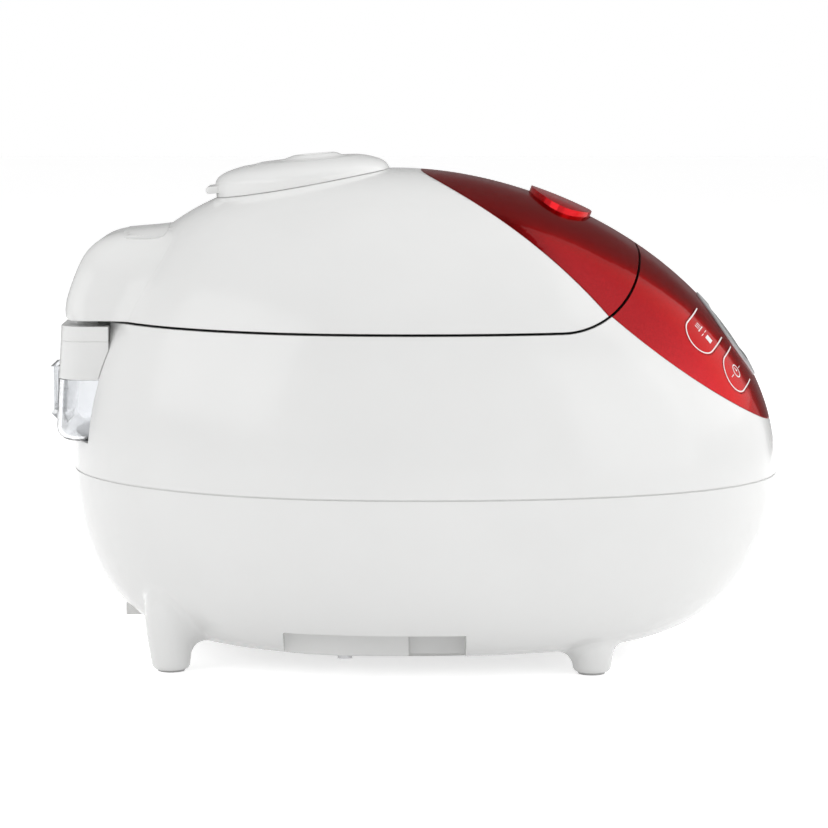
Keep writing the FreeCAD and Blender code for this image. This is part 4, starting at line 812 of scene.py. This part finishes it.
# %% [markdown]
# ## The display
# Behind the window sits a liquid crystal display: a grey-green plate with dark segments, in a dark oval
# collar that hides the space around it. The digits could be a texture, but segments cut as thin pieces
# stay sharp from near by. The collar starts as a disc, drawn out into an oval and given a rounded rim,
# and the plate as a rectangle with rounded corners.

# %% Display collar and plate
COLLAR_LEVEL = -7.9 * MM
COLLAR_STEPS = 96
COLLAR_RADII = (16.2 * MM, 31.0 * MM, 1)
COLLAR_THICK, COLLAR_RIM = 0.4 * MM, 0.1 * MM
PLATE_LEVEL = -7.5 * MM
PLATE_TALL, PLATE_WIDE, PLATE_CORNER = 20 * MM, 44 * MM, 2.0 * MM
PLATE_THICK, PLATE_RIM = 0.3 * MM, 0.08 * MM
RIM_STEPS = 2
lcd_glass = moulded("lcd_glass", dark=(0.56, 0.62, 0.53), light=(0.61, 0.67, 0.57), rough=(0.18, 0.26),
                    grain=900.0, depth=0.01 * MM)


def beside_panel(height):
    """A plane parallel to the panel's, at a height over it or, below zero, at a depth under it."""
    return panel_plane @ Matrix.Translation((0, 0, height))


def slab_of(sheet, plane, tall, soft):
    """Gives a flat sheet a height in its own Z, softens its upper rim and sets it down in its plane."""
    take(sheet)
    edit()
    bpy.ops.mesh.select_all(action="SELECT")
    pull((0, 0, tall))
    bpy.ops.mesh.bevel(offset=soft, segments=RIM_STEPS)
    face_outwards()
    done()
    set_down(sheet, plane)


deselect()
bpy.ops.mesh.primitive_circle_add(vertices=COLLAR_STEPS, radius=1, fill_type="NGON")
collar = bpy.context.object
collar.name = "display_collar"
bpy.ops.transform.resize(value=COLLAR_RADII)
settle()
slab_of(collar, beside_panel(COLLAR_LEVEL), COLLAR_THICK, COLLAR_RIM)
collar.data.materials.append(satin_dark)
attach(collar, "root")

plate = bar(0, 0, PLATE_TALL, PLATE_WIDE, PLATE_CORNER)
plate.name = "display_plate"
slab_of(plate, beside_panel(PLATE_LEVEL), PLATE_THICK, PLATE_RIM)
plate.data.materials.append(lcd_glass)
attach(plate, "root")
print("collar faces", len(collar.data.polygons), "plate faces", len(plate.data.polygons))

# %% [markdown]
# A digit has up to seven bars. Up on the panel is -X and right is +Y. One table says which bars each
# digit lights, so the time is set with a few loops. A row of small arrows under it points at programmes.

# %% Digits
DIGIT_ROW = -1.0 * MM
DIGIT_TALL = 10.0 * MM
DIGIT_WIDE = 5.6 * MM
BAR = 1.15 * MM
ACROSS_LONG = DIGIT_WIDE - 1.5 * BAR
ALONG_LONG = 0.5 * DIGIT_TALL - 1.2 * BAR
ACROSS = {"top": -0.5, "middle": 0.0, "bottom": 0.5}
ALONG = {"upper_left": (-0.25, -0.5), "upper_right": (-0.25, 0.5), "lower_left": (0.25, -0.5),
         "lower_right": (0.25, 0.5)}
LIT = {"0": ["top", "bottom", "upper_left", "upper_right", "lower_left", "lower_right"],
       "1": ["upper_right", "lower_right"],
       "2": ["top", "middle", "bottom", "upper_right", "lower_left"]}


def digit(sign, y):
    across = [part for part in LIT[sign] if part in ACROSS]
    bars = [bar(DIGIT_ROW + ACROSS[part] * DIGIT_TALL, y, BAR, ACROSS_LONG) for part in across]
    for up, side in [ALONG[part] for part in LIT[sign] if part in ALONG]:
        bars.append(bar(DIGIT_ROW + up * DIGIT_TALL, y + side * DIGIT_WIDE, ALONG_LONG, BAR))
    return bars


print("digits", DIGIT_TALL / MM, "mm tall")

# %% Display segments
TIME = {-14.5: "1", -5.6: "2", 5.6: "0", 14.5: "0"}  # where each digit stands, in millimetres
COLON_STEP, COLON_R = 2.0 * MM, 0.85 * MM
ARROW_ROW, ARROW_R = 7.6 * MM, 1.1 * MM
ARROWS = (-17.5, -10.5, -3.5, 3.5, 10.5, 17.5)
SEGMENT_FILM = 0.08 * MM
segments = []
for right, sign in TIME.items():
    segments += digit(sign, right * MM)
segments += [tile(DIGIT_ROW + k * COLON_STEP, 0, COLON_R, 4, 45) for k in (-1, 1)]
segments += [tile(ARROW_ROW, right * MM, ARROW_R, 3, -90) for right in ARROWS]
face = joined(segments, "display_segments")
set_down(face, beside_panel(PLATE_LEVEL + PLATE_THICK))
applied(face, "SOLIDIFY", thickness=SEGMENT_FILM, offset=0.0)
face.data.materials.append(satin_dark)
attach(face, "root")
print("segments", len(segments), "faces", len(face.data.polygons))

# %% [markdown]
# ## Water marks in the pot
# Inside the pot, printed lines and numbers say how high the water stands for so many cups. They could be
# painted on with a texture, but thin lines would blur. So the numbers are text made into meshes, laid out
# flat with the lines and pressed on to the wall like the signs on the keys.

# %% Numbers and the plane of the wall
POT_WALL = 98.0 * MM
FIRST_MARK = 74.0 * MM
TEXT_STEPS = 3
TEXT_MERGE = 0.01 * MM
ink_grey = moulded("ink_grey", dark=(0.40, 0.40, 0.41), light=(0.48, 0.48, 0.49), rough=(0.4, 0.5),
                   grain=2500.0, depth=0.01 * MM)


def number(text, x, y, tall):
    deselect()
    bpy.ops.object.text_add(location=(x, y, 0))
    letters = bpy.context.object.data
    letters.body = text
    letters.size = tall
    letters.align_y = "CENTER"
    letters.resolution_u = TEXT_STEPS
    bpy.ops.object.convert(target="MESH")
    settle()
    edit()
    bpy.ops.mesh.select_all(action="SELECT")
    bpy.ops.mesh.remove_doubles(threshold=TEXT_MERGE)
    return done()


def wall_plane(turn):
    """A plane that faces the pot's axis, with Y up."""
    out = Vector((math.cos(turn), math.sin(turn), 0))
    plane = Matrix.Identity(4)
    plane.col[0] = (out.y, -out.x, 0, 0)
    plane.col[1] = (0, 0, 1, 0)
    plane.col[2] = (-out.x, -out.y, 0, 0)
    plane.col[3] = (pot_axis.x + POT_WALL * out.x, POT_WALL * out.y, FIRST_MARK, 1)
    return plane


print("pot axis at", round(pot_axis.x, 4))

# %% Water marks
FIRST_CUP, LAST_CUP = 2, 10
CUP_STEP = 8.5 * MM
SCALE_TALL = (LAST_CUP - FIRST_CUP) * CUP_STEP
SPINE_WIDE = 0.45 * MM
MARK_LONG, MARK_SHORT, MARK_WIDE = 7.0 * MM, 4.0 * MM, 0.55 * MM
NUMBER_RIGHT, NUMBER_TALL = 8.2 * MM, 6.0 * MM
for side, turn in (("near", 205), ("far", 155)):
    marks = [bar(0, 0.5 * SCALE_TALL, SPINE_WIDE, SCALE_TALL)]
    for cups in range(FIRST_CUP, LAST_CUP + 1):
        rise = (cups - FIRST_CUP) * CUP_STEP
        numbered = cups % 2 == 0
        long = MARK_LONG if numbered else MARK_SHORT
        marks.append(bar(0.5 * long, rise, long, MARK_WIDE))
        if numbered:
            marks.append(number(str(cups), NUMBER_RIGHT, rise, NUMBER_TALL))
    scale = joined(marks, "pot_marks_" + side)
    press_on(scale, wall_plane(math.radians(turn)), skins["inner_pot"])
    scale.data.materials.append(ink_grey)
    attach(scale, "root")
    print(scale.name, "faces", len(scale.data.polygons), [round(v / MM, 1) for v in scale.dimensions])

# %% [markdown]
# ## The inner lid
# The inner lid is a pressed sheet. Two round beads stiffen it and a raised collar guards the steam hole.
# They could be a bump in the shader, but a bump has no edge against the light. A bead is half a thin
# tube: a torus is flattened and cut off a little inside the sheet, so that it grows out of the metal.

# %% Beads and collar of the inner lid
SHEET_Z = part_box("inner_lid")[0].z
STEAM_X = 0.5 * (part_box("steam_duct")[0].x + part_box("steam_duct")[1].x)
BURY = 0.25 * MM
BEAD_STEPS, TUBE_STEPS = 144, 20
BEAD_SMOOTH = math.radians(40)


def bead(name, x, radius, thick, proud):
    deselect()
    bpy.ops.mesh.primitive_torus_add(location=(x, 0, SHEET_Z + BURY), major_radius=radius,
                                     minor_radius=0.5 * thick, major_segments=BEAD_STEPS,
                                     minor_segments=TUBE_STEPS)
    piece = bpy.context.object
    piece.name = name
    bpy.ops.transform.resize(value=(1, 1, (proud + BURY) / (0.5 * thick)))
    settle()
    edit("EDGE")
    bpy.ops.mesh.select_all(action="SELECT")
    bpy.ops.mesh.bisect(plane_co=(x, 0, SHEET_Z + BURY), plane_no=(0, 0, 1), clear_outer=True)
    bpy.ops.mesh.bridge_edge_loops()
    face_outwards()
    done()
    bpy.ops.object.shade_smooth_by_angle(angle=BEAD_SMOOTH)
    piece.data.materials.append(aluminium)
    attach(piece, "lid")
    return piece


beads = [bead("lid_bead_outer", pot_axis.x, radius=88 * MM, thick=5.0 * MM, proud=1.1 * MM),
         bead("lid_bead_inner", pot_axis.x, radius=66 * MM, thick=4.0 * MM, proud=0.9 * MM),
         bead("steam_collar", STEAM_X, radius=14 * MM, thick=3.0 * MM, proud=1.4 * MM)]
print("beads", [(b.name, len(b.data.polygons)) for b in beads])

# %% [markdown]
# A soft knob is what one pulls to take the inner lid off. A plain cylinder would look like a stopper, so
# its end is inset and pushed in to make a dish, and a Bevel modifier rounds its edges.

# %% Knob of the inner lid
KNOB_X = 6.0 * MM
KNOB_R = 11 * MM
KNOB_STEPS = 64
KNOB_PROUD = 2.2 * MM
KNOB_RIM = 3.0 * MM
KNOB_DISH = 1.0 * MM
KNOB_EDGE, KNOB_EDGE_STEPS = 0.6 * MM, 3
KNOB_SMOOTH = math.radians(35)
deselect()
bpy.ops.mesh.primitive_circle_add(vertices=KNOB_STEPS, radius=KNOB_R, fill_type="NGON",
                                  location=(KNOB_X, 0, SHEET_Z + BURY))
knob = bpy.context.object
knob.name = "lid_knob"
settle()
edit()
bpy.ops.mesh.select_all(action="SELECT")
pull((0, 0, -BURY - KNOB_PROUD))
bpy.ops.mesh.inset(thickness=KNOB_RIM)
pull((0, 0, KNOB_DISH))
face_outwards()
done()
applied(knob, "BEVEL", width=KNOB_EDGE, segments=KNOB_EDGE_STEPS, limit_method="ANGLE")
bpy.ops.object.shade_smooth_by_angle(angle=KNOB_SMOOTH)
knob.data.materials.append(silicone)
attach(knob, "lid")
print("knob faces", len(knob.data.polygons))

# %% [markdown]
# ## The strip in the seam
# The two halves of the case meet in a fine groove, and a white lip of the lower half shows in it, so
# the groove is pale and not black. The lip could be drawn from measures, but it follows the rim of the
# case, so it starts as a copy of that rim: the flat top of the lower case is kept, pulled up across the
# groove and drawn in a little.

# %% Seam strip
SEAM_LOW = 91.75 * MM
SEAM_HIGH = 92.25 * MM
SEAM_SLACK = 0.01 * MM
FACES_UP = 0.9
DRAWN_IN = (0.9976, 0.9976, 1)
CASE_MIDDLE = (-10.0 * MM, 0, SEAM_LOW)
STRIP_SMOOTH = math.radians(30)
strip = bpy.data.objects.new("seam_strip", skins["lower_case"].data.copy())
scene.collection.objects.link(strip)
take(strip)
pick_faces(strip, lambda c, n: abs(c.z - SEAM_LOW) > SEAM_SLACK or n.z < FACES_UP)
bpy.ops.mesh.delete(type="FACE")
bpy.ops.mesh.select_all(action="SELECT")
bpy.ops.mesh.remove_doubles(threshold=SEAM_SLACK)
pull((0, 0, SEAM_HIGH - SEAM_LOW))
face_outwards()
bpy.ops.transform.resize(value=DRAWN_IN, center_override=CASE_MIDDLE)
done()
bpy.ops.object.shade_smooth_by_angle(angle=STRIP_SMOOTH)
strip.data.materials.clear()
strip.data.materials.append(gloss_white)
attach(strip, "root")
print("seam strip faces", len(strip.data.polygons), "size", [round(v / MM, 1) for v in strip.dimensions])

# %% [markdown]
# ## The plate on the neck
# A thin plain plate covers the top of the hinge neck, where the neck runs into the dome. It takes the
# form of what lies under it. A fine grid dropped on to the neck would copy every ridge, so a coarse one
# is dropped, and a Subdivision Surface rounds its corners and makes it smooth. Its thickness goes down
# into the neck, so that half a millimetre of it shows.

# %% Neck plate
NECK_MIDDLE = (-132.5 * MM, 0, 230.0 * MM)
NECK_SIZE = (22.0 * MM, 72.0 * MM, 1)
NECK_PROUD = 0.6 * MM
NECK_THICK = 1.4 * MM
NECK_LEVELS = 5
deselect()
bpy.ops.mesh.primitive_grid_add(x_subdivisions=3, y_subdivisions=5, size=1, location=NECK_MIDDLE)
neck_plate = bpy.context.object
neck_plate.name = "neck_plate"
bpy.ops.transform.resize(value=NECK_SIZE)
settle()
applied(neck_plate, "SHRINKWRAP", target=skins["lid_cover"], wrap_method="PROJECT", use_project_z=True,
        use_negative_direction=True, use_positive_direction=False, wrap_mode="ABOVE_SURFACE",
        offset=NECK_PROUD)
applied(neck_plate, "SUBSURF", levels=NECK_LEVELS, render_levels=NECK_LEVELS)
applied(neck_plate, "SOLIDIFY", thickness=NECK_THICK, offset=-1.0)
print("neck plate faces", len(neck_plate.data.polygons), [round(v / MM, 1) for v in neck_plate.dimensions])

# %% [markdown]
# Under the plate, the skin of the lid's solid is folded over itself in two places, one on each side. The
# folds could be smoothed, but they are thinner than half a millimetre and would still catch the light.
# So the copy of the cover loses its skin there, and the plate closes both places.

# %% The cover under the plate
FOLD_REAR, FOLD_FRONT = -140.5 * MM, -122.3 * MM
FOLD_INNER, FOLD_WIDE = 14.0 * MM, 18.5 * MM
FOLD_LEVEL, FOLD_LEVEL_X = 208.2 * MM, -141.0 * MM
FALL_OUTWARDS, RISE_FORWARDS = 0.09, 0.02
NECK_SMOOTH = math.radians(35)


def under_plate(centre, normal):
    """True for the cover's upper skin in the two places under the plate where it is folded."""
    side = abs(centre.y) - FOLD_INNER
    lowest = FOLD_LEVEL - FALL_OUTWARDS * side + RISE_FORWARDS * (centre.x - FOLD_LEVEL_X)
    return FOLD_REAR < centre.x < FOLD_FRONT and 0 < side < FOLD_WIDE and centre.z > lowest


faces_before = len(skins["lid_cover"].data.polygons)
take(skins["lid_cover"])
pick_faces(skins["lid_cover"], under_plate)
bpy.ops.mesh.delete(type="FACE")
done()
take(neck_plate)
bpy.ops.object.shade_smooth_by_angle(angle=NECK_SMOOTH)
neck_plate.data.materials.append(gloss_white)
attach(neck_plate, "lid")
print("folded faces taken out", faces_before - len(skins["lid_cover"].data.polygons))

# %% [markdown]
# ## Springs
# The coil springs under the button and under the heat sensor get shorter when they are pressed. Each
# could be rebuilt for every pose, but a coil that is squashed along its axis towards the end that stands
# still looks the same. Here each copy is only given a mesh of its own.


def press_spring(node):
    """Gives the copy of a spring a mesh of its own."""
    spring = skins[node]
    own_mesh(spring)


press_spring("button_springs")
press_spring("sensor_spring")
